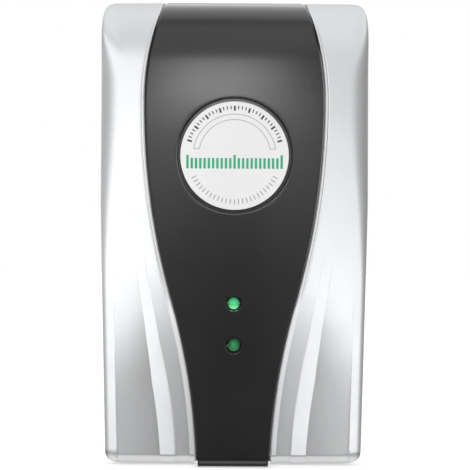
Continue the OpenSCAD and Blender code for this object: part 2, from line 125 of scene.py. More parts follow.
def spaced(start: float, end: float, steps: int) -> np.ndarray:
    """Even steps from start up to, but not including, end."""
    return np.linspace(start, end, steps, endpoint=False)


def between(low: np.ndarray, high: np.ndarray, shares: Sequence[float]) -> np.ndarray:
    """Columns at the given shares of the way from low to high, for every row."""
    return low + (high - low) * np.array(shares)


@dataclass
class Skin:
    """Collects grids of points and puts them into one mesh."""

    points: list[np.ndarray] = field(default_factory=list)
    quads: list[np.ndarray] = field(default_factory=list)
    count: int = 0

    def sheet(self, grid: np.ndarray, skip: Sequence[Block] = ()) -> None:
        """Adds a grid of points as quads; quad (i, j) joins points i, i+1 and j, j+1.

        Args:
            grid: Points as (rows, columns, 3) in the box frame.
            skip: Blocks of quads left out, each (row0, row1, column0, column1).
        """
        rows, columns = grid.shape[:2]
        index = np.arange(rows * columns).reshape(rows, columns) + self.count
        self.take(grid, index, skip)

    def tube(self, grid: np.ndarray) -> None:
        """Adds a grid of points as quads whose last column joins its first."""
        rows, columns = grid.shape[:2]
        index = np.arange(rows * columns).reshape(rows, columns) + self.count
        self.take(grid, np.concatenate([index, index[:, :1]], 1))

    def take(self, grid: np.ndarray, index: np.ndarray, skip: Sequence[Block] = ()) -> None:
        """Keeps a grid's points, and the quads between neighbouring entries of an index grid.

        Args:
            grid: The points.
            index: The numbers of the points that the quads join, in rows and columns.
            skip: Blocks of quads left out.
        """
        quads = np.stack([index[:-1, :-1], index[:-1, 1:], index[1:, 1:], index[1:, :-1]], -1)
        keep = np.ones(quads.shape[:2], bool)
        for row0, row1, column0, column1 in skip:
            keep[row0:row1, column0:column1] = False
        self.quads.append(quads[keep])
        self.points.append(grid.reshape(-1, 3))
        self.count += len(self.points[-1])

    def make(self, name: str, material: Material) -> Piece:
        """Makes the object: merges shared points, turns its faces outward and smooths its shading.

        Args:
            name: Name of the new object.
            material: Its finish.

        Returns:
            The linked object, at the origin.
        """
        mesh = bpy.data.meshes.new(name)
        points = to_row(np.concatenate(self.points))
        quads = np.concatenate(self.quads)
        mesh.vertices.add(len(points))
        mesh.vertices.foreach_set("co", points.astype(np.float32).ravel())
        mesh.loops.add(quads.size)
        mesh.loops.foreach_set("vertex_index", quads.ravel().astype(np.int32))
        mesh.polygons.add(len(quads))
        mesh.polygons.foreach_set("loop_start", np.arange(0, quads.size, 4, dtype=np.int32))
        mesh.update(calc_edges=True)
        work = bmesh.new()
        work.from_mesh(mesh)
        bmesh.ops.remove_doubles(work, verts=work.verts, dist=MERGE)
        bmesh.ops.dissolve_degenerate(work, dist=MERGE / 20, edges=work.edges)
        bmesh.ops.recalc_face_normals(work, faces=work.faces)
        work.to_mesh(mesh)
        work.free()
        mesh.shade_smooth()
        mesh.set_sharp_from_angle(angle=CREASE)
        mesh.materials.append(material)
        return link(bpy.data.objects.new(name, mesh))


def link(made: Piece) -> Piece:
    """Puts an object into the scene and hands it back."""
    bpy.context.scene.collection.objects.link(made)
    return made


def perimeter(grid: np.ndarray, block: Block | None = None) -> np.ndarray:
    """The closed loop of grid points round a block, in order.

    Args:
        grid: Points as (rows, columns, n).
        block: (row0, row1, column0, column1) of the block's quads, or None for the whole grid.

    Returns:
        Points as (n, 3).
    """
    row0, row1, column0, column1 = block or (0, grid.shape[0] - 1, 0, grid.shape[1] - 1)
    sides = (
        grid[row0, column0:column1],
        grid[row0:row1, column1],
        grid[row1, column1:column0:-1],
        grid[row1:row0:-1, column0],
    )
    return np.concatenate(sides)


def block_at(grid: np.ndarray, z: float, rows: int, columns: int) -> Block:
    """The block of quads round a place on the centre line, so many quads each way."""
    middle = grid.shape[1] // 2
    row = int(np.argmin(np.abs(grid[:, middle, 2] - z)))
    return row - rows, row + rows, middle - columns, middle + columns


def round_well(
    loop: np.ndarray, centre: Pair, profile: Sequence[Pair], depth: Depth, steps: int = 6
) -> np.ndarray:
    """A patch from a loop of points in to a circle, and on along a profile of radius and depth.

    A point is centre + radius * (cos a, sin a) in x and z, with the angle a of its loop point,
    and its u is the surface's own depth there plus the profile's offset.

    Args:
        loop: The surrounding loop, (n, 3) in the box frame.
        centre: x and z of the well.
        profile: Pairs of radius and offset, from the rim inward.
        depth: The surface's u at x, z.
        steps: Rings between the loop and the first radius.

    Returns:
        A grid (rings, n, 3) whose columns run round the well.
    """
    middle = np.array(centre)
    start = loop[:, [0, 2]]
    angle = np.arctan2(start[:, 1] - middle[1], start[:, 0] - middle[0])
    ray = np.stack([np.cos(angle), np.sin(angle)], -1)
    rim = middle + profile[0][0] * ray
    rings = [(start * (1 - share) + rim * share, 0.0) for share in spaced(0.0, 1.0, steps)]
    rings += [(middle + radius * ray, drop) for radius, drop in profile]
    flat = np.stack([ring for ring, _ in rings])
    drops = np.array([drop for _, drop in rings])[:, None]
    x, z = flat[..., 0], flat[..., 1]
    return np.stack([x, depth(x, z) + drops, z], -1)


def turned(
    centre: Pair, profile: Sequence[Pair], around: int, shift: Depth | None = None
) -> np.ndarray:
    """A shape turned about the depth axis: x = cx + r cos a, z = cz + r sin a, u of the profile.

    Args:
        centre: x and z of the axis.
        profile: Pairs of radius and u, from one end to the other.
        around: Points in each ring.
        shift: Optional depth surface that is added to u.

    Returns:
        A grid (rings, around, 3).
    """
    angle = spaced(0.0, 2.0 * np.pi, around)[None]
    radius, u = np.array(profile).T[:, :, None]
    x = centre[0] + radius * np.cos(angle)
    z = centre[1] + radius * np.sin(angle)
    u = np.broadcast_to(u, x.shape)
    return np.stack([x, u if shift is None else u + shift(x, z), z], -1)


# ---- Shared shader groups -------------------------------------------------------------------


@dataclass
class Nodes:
    """Short hand for adding and joining nodes of one tree."""

    tree: bpy.types.NodeTree

    def add(self, kind: str, **values: object) -> bpy.types.Node:
        """Adds a node and sets its attributes and inputs.

        Args:
            kind: The node's type, without its first words.
            values: Attributes by name, or inputs for names written in_Name.

        Returns:
            The new node.
        """
        node = self.tree.nodes.new("ShaderNode" + kind)
        for key, value in values.items():
            if key.startswith("in_"):
                node.inputs[key[3:].replace("_", " ")].default_value = value
            else:
                setattr(node, key, value)
        return node

    def join(self, source: Socket | float | Colour, target: Socket) -> None:
        """Links an output to an input, or gives the input a plain number or colour."""
        if isinstance(source, Socket):
            self.tree.links.new(source, target)
        else:
            target.default_value = (*source, 1.0) if isinstance(source, tuple) else source

    def math(self, operation: str, first: Socket | float, second: Socket | float = 0.0) -> Socket:
        """Joins two values with one arithmetic operation.

        Args:
            operation: The Math node's operation.
            first: A socket or a number.
            second: A socket or a number.

        Returns:
            The result's socket.
        """
        node = self.add("Math", operation=operation)
        self.join(first, node.inputs[0])
        self.join(second, node.inputs[1])
        return node.outputs[0]

    def grade(self, value: Socket, low: Pair, high: Pair = (0.0, 1.0)) -> Socket:
        """Maps a value from one range onto another, held at both ends.

        Args:
            value: The value to map.
            low: Its range, from and to.
            high: The range that it becomes.

        Returns:
            The mapped value's socket.
        """
        node = self.add("MapRange", in_From_Min=low[0], in_From_Max=low[1])
        node.inputs["To Min"].default_value, node.inputs["To Max"].default_value = high
        self.join(value, node.inputs["Value"])
        return node.outputs["Result"]

    def mix(self, factor: Socket, first: Socket | Colour, second: Colour) -> Socket:
        """Mixes two colours.

        Args:
            factor: Share of the second colour.
            first: A colour or a colour's socket.
            second: A colour.

        Returns:
            The mixed colour's socket.
        """
        node = self.add("Mix", data_type="RGBA")
        for name, value in (("Factor", factor), ("A", first), ("B", second)):
            self.join(value, node.inputs[name])
        return node.outputs["Result"]

    def noise(self, where: Socket, scale: Socket | float, **values: float) -> Socket:
        """Adds a noise texture.

        Args:
            where: The coordinates' socket.
            scale: A socket or a number.
            values: Further inputs, as in add.

        Returns:
            The noise value's socket.
        """
        node = self.add("TexNoise", **values)
        self.join(where, node.inputs["Vector"])
        self.join(scale, node.inputs["Scale"])
        return node.outputs["Fac"]

    def place(self) -> Socket:
        """The object coordinates."""
        return self.add("TexCoord").outputs["Object"]

    def upward(self) -> Socket:
        """How far the surface faces up, from -1 to 1."""
        facing = self.add("SeparateXYZ")
        self.join(self.add("NewGeometry").outputs["Normal"], facing.inputs[0])
        return facing.outputs["Z"]


def new_group(
    name: str, inputs: dict[str, float], outputs: Sequence[str]
) -> tuple[Nodes, bpy.types.NodeOutputs, bpy.types.NodeInputs]:
    """Starts a shader node group whose sockets are all single values.

    Args:
        name: Name of the group.
        inputs: Names and defaults of its inputs.
        outputs: Names of its outputs.

    Returns:
        The group's node helper, the values that come in and the values that go out.
    """
    group = bpy.data.node_groups.new(name, "ShaderNodeTree")
    kind = "NodeSocketFloat"
    for label, default in inputs.items():
        socket = group.interface.new_socket(name=label, in_out="INPUT", socket_type=kind)
        socket.default_value = default
    for label in outputs:
        group.interface.new_socket(name=label, in_out="OUTPUT", socket_type=kind)
    source = group.nodes.new("NodeGroupInput")
    target = group.nodes.new("NodeGroupOutput")
    return Nodes(group), source.outputs, target.inputs


def grain_group() -> bpy.types.NodeTree:
    """The fine break-up of a surface: fine noise is a height, cells a tone, broad noise a mottle.

    Returns:
        The node group.
    """
    scales = {"Fine Scale": 2500.0, "Broad Scale": 60.0}
    nodes, given, out = new_group("surface_grain", scales, ["Height", "Tone", "Mottle"])
    where = nodes.place()
    fine = nodes.noise(where, given["Fine Scale"], in_Detail=3.0, in_Roughness=0.6)
    nodes.join(fine, out["Height"])
    cells = nodes.add("TexVoronoi")
    nodes.join(where, cells.inputs["Vector"])
    nodes.join(given["Fine Scale"], cells.inputs["Scale"])
    nodes.join(cells.outputs["Color"], out["Tone"])
    broad = nodes.noise(where, given["Broad Scale"], in_Detail=4.0, in_Roughness=0.55)
    nodes.join(nodes.grade(broad, (0.3, 0.7)), out["Mottle"])
    return nodes.tree


def dust_group() -> bpy.types.NodeTree:
    """Fine dust that lies in patches and in upward-facing places: noise times a facing mask.

    Returns:
        The node group.
    """
    nodes, given, out = new_group("settled_dust", {"Patch Scale": 25.0, "Amount": 0.5}, ["Mask"])
    where = nodes.place()
    patches = nodes.noise(where, given["Patch Scale"], in_Detail=6.0, in_Roughness=0.7)
    specks = nodes.noise(where, 1400.0, in_Detail=2.0)
    upward = nodes.grade(nodes.upward(), (-0.2, 1.0), (0.25, 1.0))
    laid = nodes.math("MULTIPLY", nodes.grade(patches, (0.45, 0.75)), upward)
    broken = nodes.math("MULTIPLY", laid, nodes.grade(specks, (0.4, 0.6), (0.3, 1.0)))
    nodes.join(nodes.math("MULTIPLY", broken, given["Amount"]), out["Mask"])
    return nodes.tree


def scuff_group() -> bpy.types.NodeTree:
    """Hairline scuffs from handling: thin streaks of stretched noise, kept to a few patches.

    Returns:
        The node group.
    """
    nodes, given, out = new_group("hairline_scuffs", {"Scale": 220.0, "Amount": 0.4}, ["Mask"])
    where = nodes.place()
    lie = nodes.add("Mapping", in_Rotation=(0.3, 0.9, 0.2), in_Scale=(0.05, 0.3, 1.0))
    nodes.join(where, lie.inputs["Vector"])
    streaks = nodes.noise(lie.outputs["Vector"], given["Scale"], in_Detail=2.0, in_Roughness=0.5)
    places = nodes.noise(where, 40.0, in_Detail=2.0)
    line, patch = nodes.grade(streaks, (0.62, 0.70)), nodes.grade(places, (0.52, 0.62))
    marks = nodes.math("MULTIPLY", line, patch)
    nodes.join(nodes.math("MULTIPLY", marks, given["Amount"]), out["Mask"])
    return nodes.tree


@dataclass
class Effects:
    """The shader groups that the finishes share, each built once."""

    grain: bpy.types.NodeTree = field(default_factory=grain_group)
    dust: bpy.types.NodeTree = field(default_factory=dust_group)
    scuffs: bpy.types.NodeTree = field(default_factory=scuff_group)


# ---- Finishes -------------------------------------------------------------------------------


@dataclass(frozen=True)
class Finish:
    """A surface finish: two shades mixed by mottle and dust, and its gloss, grain and wear."""

    name: str
    colour: Colour
    shade: Colour
    roughness: float
    metallic: float = 0.0
    specular: float = 0.5
    coat: float = 0.0
    coat_roughness: float = 0.1
    grain: Grain = Grain.SATIN
    grain_strength: float = 0.5
    tone_share: float = 0.1
    gloss_spread: float = 0.08
    dust: float = 0.1
    dust_colour: Colour = (0.55, 0.54, 0.52)
    dust_veil: float = 0.4
    scuffs: float = 0.2
    scuff_veil: float = 0.25
    transmission: float = 0.0
    glow: Colour = (0.0, 0.0, 0.0)
    # painted highlight: a brighter emission colour on the down-facing part of a lamp's nose, in
    # place of the lit crescent of a reflection
    painted_highlight_below: Colour = (0.0, 0.0, 0.0)
    glow_strength: float = 0.0

    def material(self, effects: Effects) -> Material:
        """Builds the finish as a material on Object coordinates.

        Args:
            effects: The shared shader groups.

        Returns:
            The new material.
        """
        made = bpy.data.materials.new(self.name)
        made.use_nodes = True
        made.node_tree.nodes.clear()
        nodes = Nodes(made.node_tree)
        surface = nodes.add("BsdfPrincipled")
        nodes.join(surface.outputs[0], nodes.add("OutputMaterial").inputs["Surface"])
        sockets = surface.inputs
        sockets["Metallic"].default_value = self.metallic
        sockets["Specular IOR Level"].default_value = self.specular
        sockets["Coat Weight"].default_value = self.coat
        sockets["Coat Roughness"].default_value = self.coat_roughness
        sockets["Transmission Weight"].default_value = self.transmission
        sockets["Emission Strength"].default_value = self.glow_strength
        if self.glow_strength > 0.0:
            # Painted highlight: the emission colour turns to the brighter one where the surface
            # faces down, a lit crescent on the lamp's nose.
            below = nodes.grade(nodes.upward(), (-0.25, -0.85))
            nodes.join(nodes.mix(below, self.glow, self.painted_highlight_below), sockets["Emission Color"])

        size, height = self.grain.value
        grain = nodes.add("Group", node_tree=effects.grain, in_Fine_Scale=1.0 / size).outputs
        dust = nodes.add("Group", node_tree=effects.dust, in_Amount=self.dust).outputs["Mask"]
        scuffs = nodes.add("Group", node_tree=effects.scuffs, in_Amount=self.scuffs)

        speckle = nodes.math("MULTIPLY", grain["Tone"], self.tone_share)
        mottle = nodes.math("MULTIPLY", grain["Mottle"], 1.0 - self.tone_share)
        base = nodes.mix(nodes.math("ADD", speckle, mottle), self.colour, self.shade)
        nodes.join(nodes.mix(dust, base, self.dust_colour), sockets["Base Color"])

        spread = nodes.math("MULTIPLY", grain["Mottle"], self.gloss_spread)
        rough = nodes.math("ADD", self.roughness - self.gloss_spread / 2, spread)
        marked = nodes.math("MULTIPLY", scuffs.outputs["Mask"], self.scuff_veil)
        rough = nodes.math("ADD", rough, marked)
        rough = nodes.math("ADD", rough, nodes.math("MULTIPLY", dust, self.dust_veil))
        nodes.join(rough, sockets["Roughness"])

        bump = nodes.add("Bump", in_Strength=self.grain_strength, in_Distance=height)
        nodes.join(grain["Height"], bump.inputs["Height"])
        nodes.join(bump.outputs["Normal"], sockets["Normal"])
        return made


SILVER_PAINT = Finish(
    "silver_paint", (0.93, 0.938, 0.95), (0.89, 0.898, 0.912), 0.24, metallic=0.92, coat=0.1,
    grain=Grain.FLAKE, grain_strength=0.35, tone_share=0.45, gloss_spread=0.03, dust=0.03,
    scuffs=0.03,
)
BLACK_TRIM = Finish(
    "black_trim", (0.0016, 0.0016, 0.0018), (0.0026, 0.0026, 0.0029), 0.28, specular=0.22,
    grain=Grain.SPARK, grain_strength=0.9, gloss_spread=0.02, dust=0.002, scuffs=0.03,
)
LABEL_FOIL = Finish(
    "label_foil", (0.95, 0.95, 0.95), (0.92, 0.925, 0.93), 0.34, metallic=0.2,
    grain=Grain.SMOOTH, grain_strength=0.3, dust=0.02, scuffs=0.25,
)
BLACK_SHELL = Finish(
    "black_shell", (0.012, 0.012, 0.013), (0.018, 0.018, 0.019), 0.5,
    grain=Grain.SPARK, grain_strength=0.9, dust=0.05, scuffs=0.5,
)
PLATE_FILM = Finish(
    "plate_film", (0.60, 0.61, 0.62), (0.50, 0.51, 0.53), 0.38, metallic=0.7,
    grain=Grain.SMOOTH, grain_strength=0.4, dust=0.05, scuffs=0.6,
)
PLUG_PLASTIC = Finish(
    "plug_plastic", (0.016, 0.016, 0.017), (0.024, 0.024, 0.025), 0.34,
    grain=Grain.SMOOTH, dust=0.04, scuffs=0.5,
)
PIN_NICKEL = Finish(
    "pin_nickel", (0.86, 0.83, 0.76), (0.78, 0.75, 0.68), 0.22, metallic=1.0,
    grain_strength=0.3, dust=0.02, scuffs=0.9,
)
SCREW_STEEL = Finish(
    "screw_steel", (0.62, 0.63, 0.66), (0.48, 0.49, 0.52), 0.32, metallic=1.0,
    grain_strength=0.4, scuffs=0.8,
)
LAMINATE = Finish(
    "board_laminate", (0.40, 0.27, 0.10), (0.30, 0.20, 0.07), 0.5,
    grain=Grain.SPARK, grain_strength=0.8,
)
# Both lamps glow as lamps; the bright second emission colour of each is a painted highlight, a lit
# crescent on the lower part of the nose.
LAMP_GREEN = Finish(
    "lamp_green", (0.10, 0.62, 0.26), (0.06, 0.50, 0.20), 0.16, grain=Grain.SMOOTH,
    grain_strength=0.2, glow=(0.06, 0.52, 0.19), painted_highlight_below=(0.9, 2.6, 1.1), glow_strength=0.28,
    dust=0.0, scuffs=0.0,
)
LAMP_GREEN_DIM = Finish(
    "lamp_green_dim", (0.03, 0.24, 0.09), (0.02, 0.18, 0.07), 0.18, grain=Grain.SMOOTH,
    grain_strength=0.2, glow=(0.03, 0.30, 0.10), painted_highlight_below=(0.2, 0.7, 0.25), glow_strength=0.22,
    dust=0.0, scuffs=0.0,
)
FUSE_GLASS = Finish(
    "fuse_glass", (0.90, 0.94, 0.93), (0.86, 0.91, 0.90), 0.06, transmission=0.9,
    gloss_spread=0.02, dust=0.05, scuffs=0.1,
)
SPACER_NYLON = Finish("spacer_nylon", (0.016, 0.016, 0.017), (0.010, 0.010, 0.011), 0.5)
DIODE_BODY = Finish("diode_body", (0.015, 0.015, 0.015), (0.03, 0.03, 0.03), 0.45)
TINNED_WIRE = Finish("tinned_wire", (0.78, 0.78, 0.77), (0.66, 0.66, 0.66), 0.3, metallic=1.0)
SOLDER = Finish(
    "solder", (0.70, 0.71, 0.73), (0.56, 0.57, 0.60), 0.24, metallic=1.0, grain=Grain.SMOOTH
)
FILM_BOX, DROPPER_BOX, CAN_SLEEVE, VARISTOR_COAT, RESISTOR_COAT, WIRE_BROWN, WIRE_BLUE = (
    Finish(*values, grain=Grain.SMOOTH)
    for values in (
        ("film_box", (0.72, 0.72, 0.68), (0.62, 0.62, 0.58), 0.42),
        ("dropper_box", (0.70, 0.44, 0.05), (0.58, 0.34, 0.03), 0.4),
        ("can_sleeve", (0.02, 0.03, 0.09), (0.015, 0.02, 0.06), 0.28),
        ("varistor_coat", (0.02, 0.08, 0.34), (0.015, 0.06, 0.26), 0.35),
        ("resistor_coat", (0.25, 0.46, 0.58), (0.20, 0.38, 0.50), 0.4),
        ("wire_brown", (0.20, 0.08, 0.03), (0.15, 0.06, 0.02), 0.38),
        ("wire_blue", (0.02, 0.09, 0.36), (0.015, 0.07, 0.28), 0.38),
    )
)
INK_DARK, INK_GREY, INK_GREEN = (
    Finish(*values, 0.5, dust=0.0, scuffs=0.0)
    for values in (
        ("ink_dark", (0.03, 0.03, 0.03), (0.05, 0.05, 0.05)),
        ("ink_grey", (0.36, 0.36, 0.37), (0.42, 0.42, 0.43)),
        ("ink_green", (0.02, 0.42, 0.20), (0.04, 0.50, 0.26)),
    )
)

CAD_FINISHES: dict[str, Finish] = {
    "front_shell": SILVER_PAINT,
    "centre_panel": BLACK_TRIM,
    "label_disc": LABEL_FOIL,
    "upper_led": LAMP_GREEN,
    "lower_led": LAMP_GREEN_DIM,
    "rear_shell": BLACK_SHELL,
    "rating_plate": PLATE_FILM,
    "plug_base": PLUG_PLASTIC,
    "plug_pin_left": PIN_NICKEL,
    "plug_pin_right": PIN_NICKEL,
    "fuse_caps": PIN_NICKEL,
    "fuse_tube": FUSE_GLASS,
    "plug_base_screws": SCREW_STEEL,
    "shell_screws": SCREW_STEEL,
    "board_screws": SCREW_STEEL,
    "circuit_board": LAMINATE,
    "led_spacers": SPACER_NYLON,
    "film_capacitor": FILM_BOX,
    "dropper_capacitor": DROPPER_BOX,
    "smoothing_capacitor": CAN_SLEEVE,
    "varistor": VARISTOR_COAT,
    "rectifier_diodes": DIODE_BODY,
    "resistors": RESISTOR_COAT,
    "component_leads": TINNED_WIRE,
    "solder_joints": SOLDER,
    "live_wire": WIRE_BROWN,
    "neutral_wire": WIRE_BLUE,
}


@dataclass
class Paintbox:
    """Hands out each finish's material, made once."""

    effects: Effects = field(default_factory=Effects)
    made: dict[str, Material] = field(default_factory=dict)

    def of(self, finish: Finish) -> Material:
        """The material of that finish."""
        if finish.name not in self.made:
            self.made[finish.name] = finish.material(self.effects)
        return self.made[finish.name]


# ---- The box's form -------------------------------------------------------------------------


@dataclass(frozen=True)
class RoundedFace:
    """Maps a plain grid onto a face with rounded corners and rolled edges.

    Near a corner the grid shares p = 1 - inset / zone of both directions are scaled by
    max(p) / (p_side^k + p_end^k)^(1/k), so that grid lines follow the corner. The side falls by
    side_share * r * (1 - sqrt(1 - q^2)), where q grows from 0 to 1 over the roll's reach r, and
    the end falls by end_depth * (1 - (1 - q^m)^(1/m)) over its own reach.
    """

    side_zone: float
    end_zone: float
    end_reach: float
    end_depth: float
    end_power: float
    corner_power: float
    side_share: float = 0.55

    def bend(
        self, side: np.ndarray, end: np.ndarray, side_roll: np.ndarray
    ) -> tuple[np.ndarray, np.ndarray, np.ndarray]:
        """Bends insets from the side and from the end round the corner.

        Args:
            side: Inset from the side edge.
            end: Inset from the end edge.
            side_roll: Reach of the side's roll at each point.

        Returns:
            The new side inset, the new end inset and the roll's fall.
        """
        p = np.clip(1.0 - side / self.side_zone, 0.0, 1.0)
        q = np.clip(1.0 - end / self.end_zone, 0.0, 1.0)
        most = np.maximum(p, q)
        p_part, q_part = p**self.corner_power, q**self.corner_power
        total = p_part + q_part
        norm = total ** (1.0 / self.corner_power)
        near = norm > 1e-9
        scale = np.divide(most, norm, out=np.ones_like(most), where=near)
        share = np.divide(p_part, total, out=np.ones_like(most), where=near)
        side_fall = self.side_share * side_roll * roll_off(
            self.grown(most, side_roll / self.side_zone), 2.0
        )
        end_fall = self.end_depth * roll_off(
            self.grown(most, self.end_reach / self.end_zone), self.end_power
        )
        new_side = np.where(p > 0, self.side_zone * (1.0 - p * scale), side)
        new_end = np.where(q > 0, self.end_zone * (1.0 - q * scale), end)
        return new_side, new_end, side_fall * share + end_fall * (1.0 - share)

    @staticmethod
    def grown(most: np.ndarray, reach: float | np.ndarray) -> np.ndarray:
        """Rises from 0 to 1 over the last share of the zone that the reach takes up."""
        start = 1.0 - reach
        return np.clip((most - start) / (1.0 - start), 0.0, 1.0)


@dataclass(frozen=True)
class BoxForm:
    """The outline, the front surface and the places that the front's pieces share."""

    height: float = 120.0
    half_width: float = 34.5
    foot_half: float = 33.0  # half width at the foot
    taper_z: float = 68.0  # where the sides start to run in
    shell_foot: float = 0.8  # the silver shell ends this far over the panel's foot
    parting: float = 14.0  # depth of the line between the two shells
    crest: float = 35.8  # greatest depth, and its height
    crest_z: float = 84.0
    fall_low: float = 1118.0  # divisors of the front's fall, in front()
    fall_foot: float = 7100.0
    bend_z: float = 43.0
    fall_high: float = 340.0
    crown_r: float = 190.0  # radius across the front
    brow: float = 16.0  # height over which the front folds back to the top
    brow_depth: float = 11.0
    brow_power: float = 2.35
    panel_half: float = 23.3  # greatest half width of the panel, and its height
    panel_z: float = 94.0
    panel_top_r: float = 67.0
    panel_mid_r: float = 186.0
    panel_low_r: float = 174.0
    panel_turn_z: float = 43.0
    panel_gap: float = 0.25
    tab_stop: float = 18.0  # how far forward the panel's end tabs start
    lamp_z: Pair = (42.2, 31.2)
    foot_steps: tuple[float, ...] = (
        0.0, 0.02, 0.07, 0.15, 0.27, 0.42, 0.6, 0.8, 1.02, 1.26, 1.5, 1.75, 2.0, 2.4, 2.9,
    )

    def outer(self, z: np.ndarray) -> np.ndarray:
        """Half width of the box at a height: constant, then straight in toward the foot."""
        share = np.clip((self.taper_z - z) / self.taper_z, 0.0, 1.0)
        return self.half_width - (self.half_width - self.foot_half) * share

    def panel(self, z: np.ndarray) -> np.ndarray:
        """Half width of the panel at a height, three arcs that run into each other.

        Args:
            z: Heights over the foot.

        Returns:
            Half widths in millimetres.
        """
        rise = z - self.panel_z
        top = self.arc(self.panel_top_r, np.clip(rise, 0.0, None))
        mid = self.arc(self.panel_mid_r, np.clip(rise, self.panel_turn_z - self.panel_z, 0.0))
        angle = math.asin((self.panel_z - self.panel_turn_z) / self.panel_mid_r)
        turn_half = self.panel_half - self.panel_mid_r * (1.0 - math.cos(angle))
        low_x = turn_half + self.panel_low_r * math.cos(angle)
        low_z = self.panel_turn_z - self.panel_low_r * math.sin(angle)
        low = low_x - np.sqrt(self.panel_low_r**2 - (z - low_z) ** 2)
        return np.where(z >= self.panel_z, top, np.where(z >= self.panel_turn_z, mid, low))

    def arc(self, radius: float, rise: np.ndarray) -> np.ndarray:
        """Half width on an arc of that radius, whose widest place is the panel's."""
        return self.panel_half - radius + np.sqrt(radius**2 - rise**2)

    def channel(self, z: np.ndarray) -> np.ndarray:
        """Half width of the channel that the panel lies in."""
        return self.panel(z) + self.panel_gap

    def foot_rows(self) -> np.ndarray:
        """Heights of the rows next to the foot, closer together toward it."""
        return np.array(self.foot_steps)

    def brow_rows(self, count: int) -> np.ndarray:
        """Heights from the brow's start up to the top, closer together toward the top."""
        turn = np.sin(np.linspace(0.02, 0.5, count) * np.pi) ** 1.25
        return self.height - self.brow * (1.0 - turn)

    def brow_fall(self, z: np.ndarray, inset: float = 0.0) -> np.ndarray:
        """How far the front has fallen back over the brow, for a surface drawn in by an inset.

        Args:
            z: Heights over the foot.
            inset: How far under the face.

        Returns:
            The fall in depth.
        """
        share = np.clip(1.0 - (self.height - inset - z) / (self.brow - inset), 0.0, 1.0)
        return (self.brow_depth - inset) * roll_off(share, self.brow_power)

    def front(self, x: np.ndarray, z: np.ndarray) -> np.ndarray:
        """Depth of the smooth front: crest - fall(z) - (R - sqrt(R^2 - x^2)).

        The fall is (z - crest_z)^2 / k above and below the crest; under bend_z it runs on along
        its tangent, with only (bend_z - z)^2 / fall_foot added.

        Args:
            x: Places across.
            z: Heights over the foot.

        Returns:
            The depth u.
        """
        rise = z - self.crest_z
        run = self.crest_z - self.bend_z
        foot = np.clip(self.bend_z - z, 0.0, None)
        low = np.clip(rise, -run, 0.0) ** 2 / self.fall_low
        low = low + 2.0 * run / self.fall_low * foot + foot**2 / self.fall_foot
        fall = np.where(rise < 0, low, rise**2 / self.fall_high)
        return self.crest - fall - (self.crown_r - np.sqrt(self.crown_r**2 - x**2))


@dataclass(frozen=True)
class Wing:
    """The pressed relief of a silver wing: a bead and a groove by the panel, and two hollows."""

    form: BoxForm
    bead_w: float = 0.55
    bead_h: float = 0.07
    bead_power: float = 0.8
    bead_from: Pair = (38.0, 54.0)
    bead_to: Pair = (113.0, 117.0)
    groove_e: float = 0.66
    groove_w: float = 0.09
    groove_d: float = 0.055
    step_w: float = 0.03
    lip_w: float = 1.15
    hollow_run: float = 34.0
    hollow_slope: float = 0.06
    near_from: float = 58.0
    far_from: Pair = (57.0, 47.0)
    rim_w: float = 3.05
    band_z: tuple[float, ...] = (0.0, 12.0, 22.0, 32.7, 43.0, 52.0, 70.0, 120.0)
    band_in: tuple[float, ...] = (5.0, 5.1, 5.3, 5.4, 4.6, 4.0, 3.6, 3.4)
    band_out: tuple[float, ...] = (8.8, 9.0, 9.2, 8.6, 7.5, 6.5, 5.4, 5.0)

    def band(self, z: np.ndarray) -> tuple[np.ndarray, np.ndarray]:
        """Where the flat band between the hollows starts and ends, counted from the channel."""
        return np.interp(z, self.band_z, self.band_in), np.interp(z, self.band_z, self.band_out)

    def deep(self, below: np.ndarray) -> np.ndarray:
        """Depth of a hollow, whose slope grows from none to full by a smooth step.

        With t from 0 to 1 down that stretch, of length l, the depth is
        slope * l * (t^3 - t^4 / 2), and below it slope * (below - l) is added.

        Args:
            below: How far under the hollow's upper end.

        Returns:
            Depths in millimetres.
        """
        t = np.clip(below / self.hollow_run, 0.0, 1.0)
        straight = np.clip(below - self.hollow_run, 0.0, None)
        return self.hollow_slope * (self.hollow_run * (t**3 - t**4 / 2.0) + straight)

    def relief(self, x: np.ndarray, z: np.ndarray) -> np.ndarray:
        """Height of the relief over the smooth front.

        The hollows are cut down between sharp steps at their sides; the outer one's upper end
        slants down toward the rim. The bead is a half sine and the groove a bell.

        Args:
            x: Places across.
            z: Heights over the foot.

        Returns:
            Offsets in depth.
        """
        e = np.abs(x) - self.form.channel(z)
        o = self.form.outer(z) - np.abs(x)
        inner, outer = self.band(z)
        step = self.step_w
        near = ramp(self.lip_w, self.lip_w + step, e) * (1.0 - ramp(inner - step, inner, e))
        far = ramp(outer, outer + step, e) * ramp(self.rim_w, self.rim_w + step, o)
        slant = np.clip((e - outer) / (e + o - outer - self.rim_w), 0.0, 1.0)
        start = self.far_from[0] + (self.far_from[1] - self.far_from[0]) * slant
        reach = ramp(*self.bead_from, z) * (1.0 - ramp(*self.bead_to, z))
        arch = np.sin(np.pi * np.clip(e / self.bead_w, 0.0, 1.0)) ** self.bead_power
        bell = np.exp(-(((e - self.groove_e) / self.groove_w) ** 2))
        line = (self.bead_h * arch - self.groove_d * bell) * reach
        return line - self.deep(self.near_from - z) * near - self.deep(start - z) * far


# ---- Sub-assemblies -------------------------------------------------------------------------


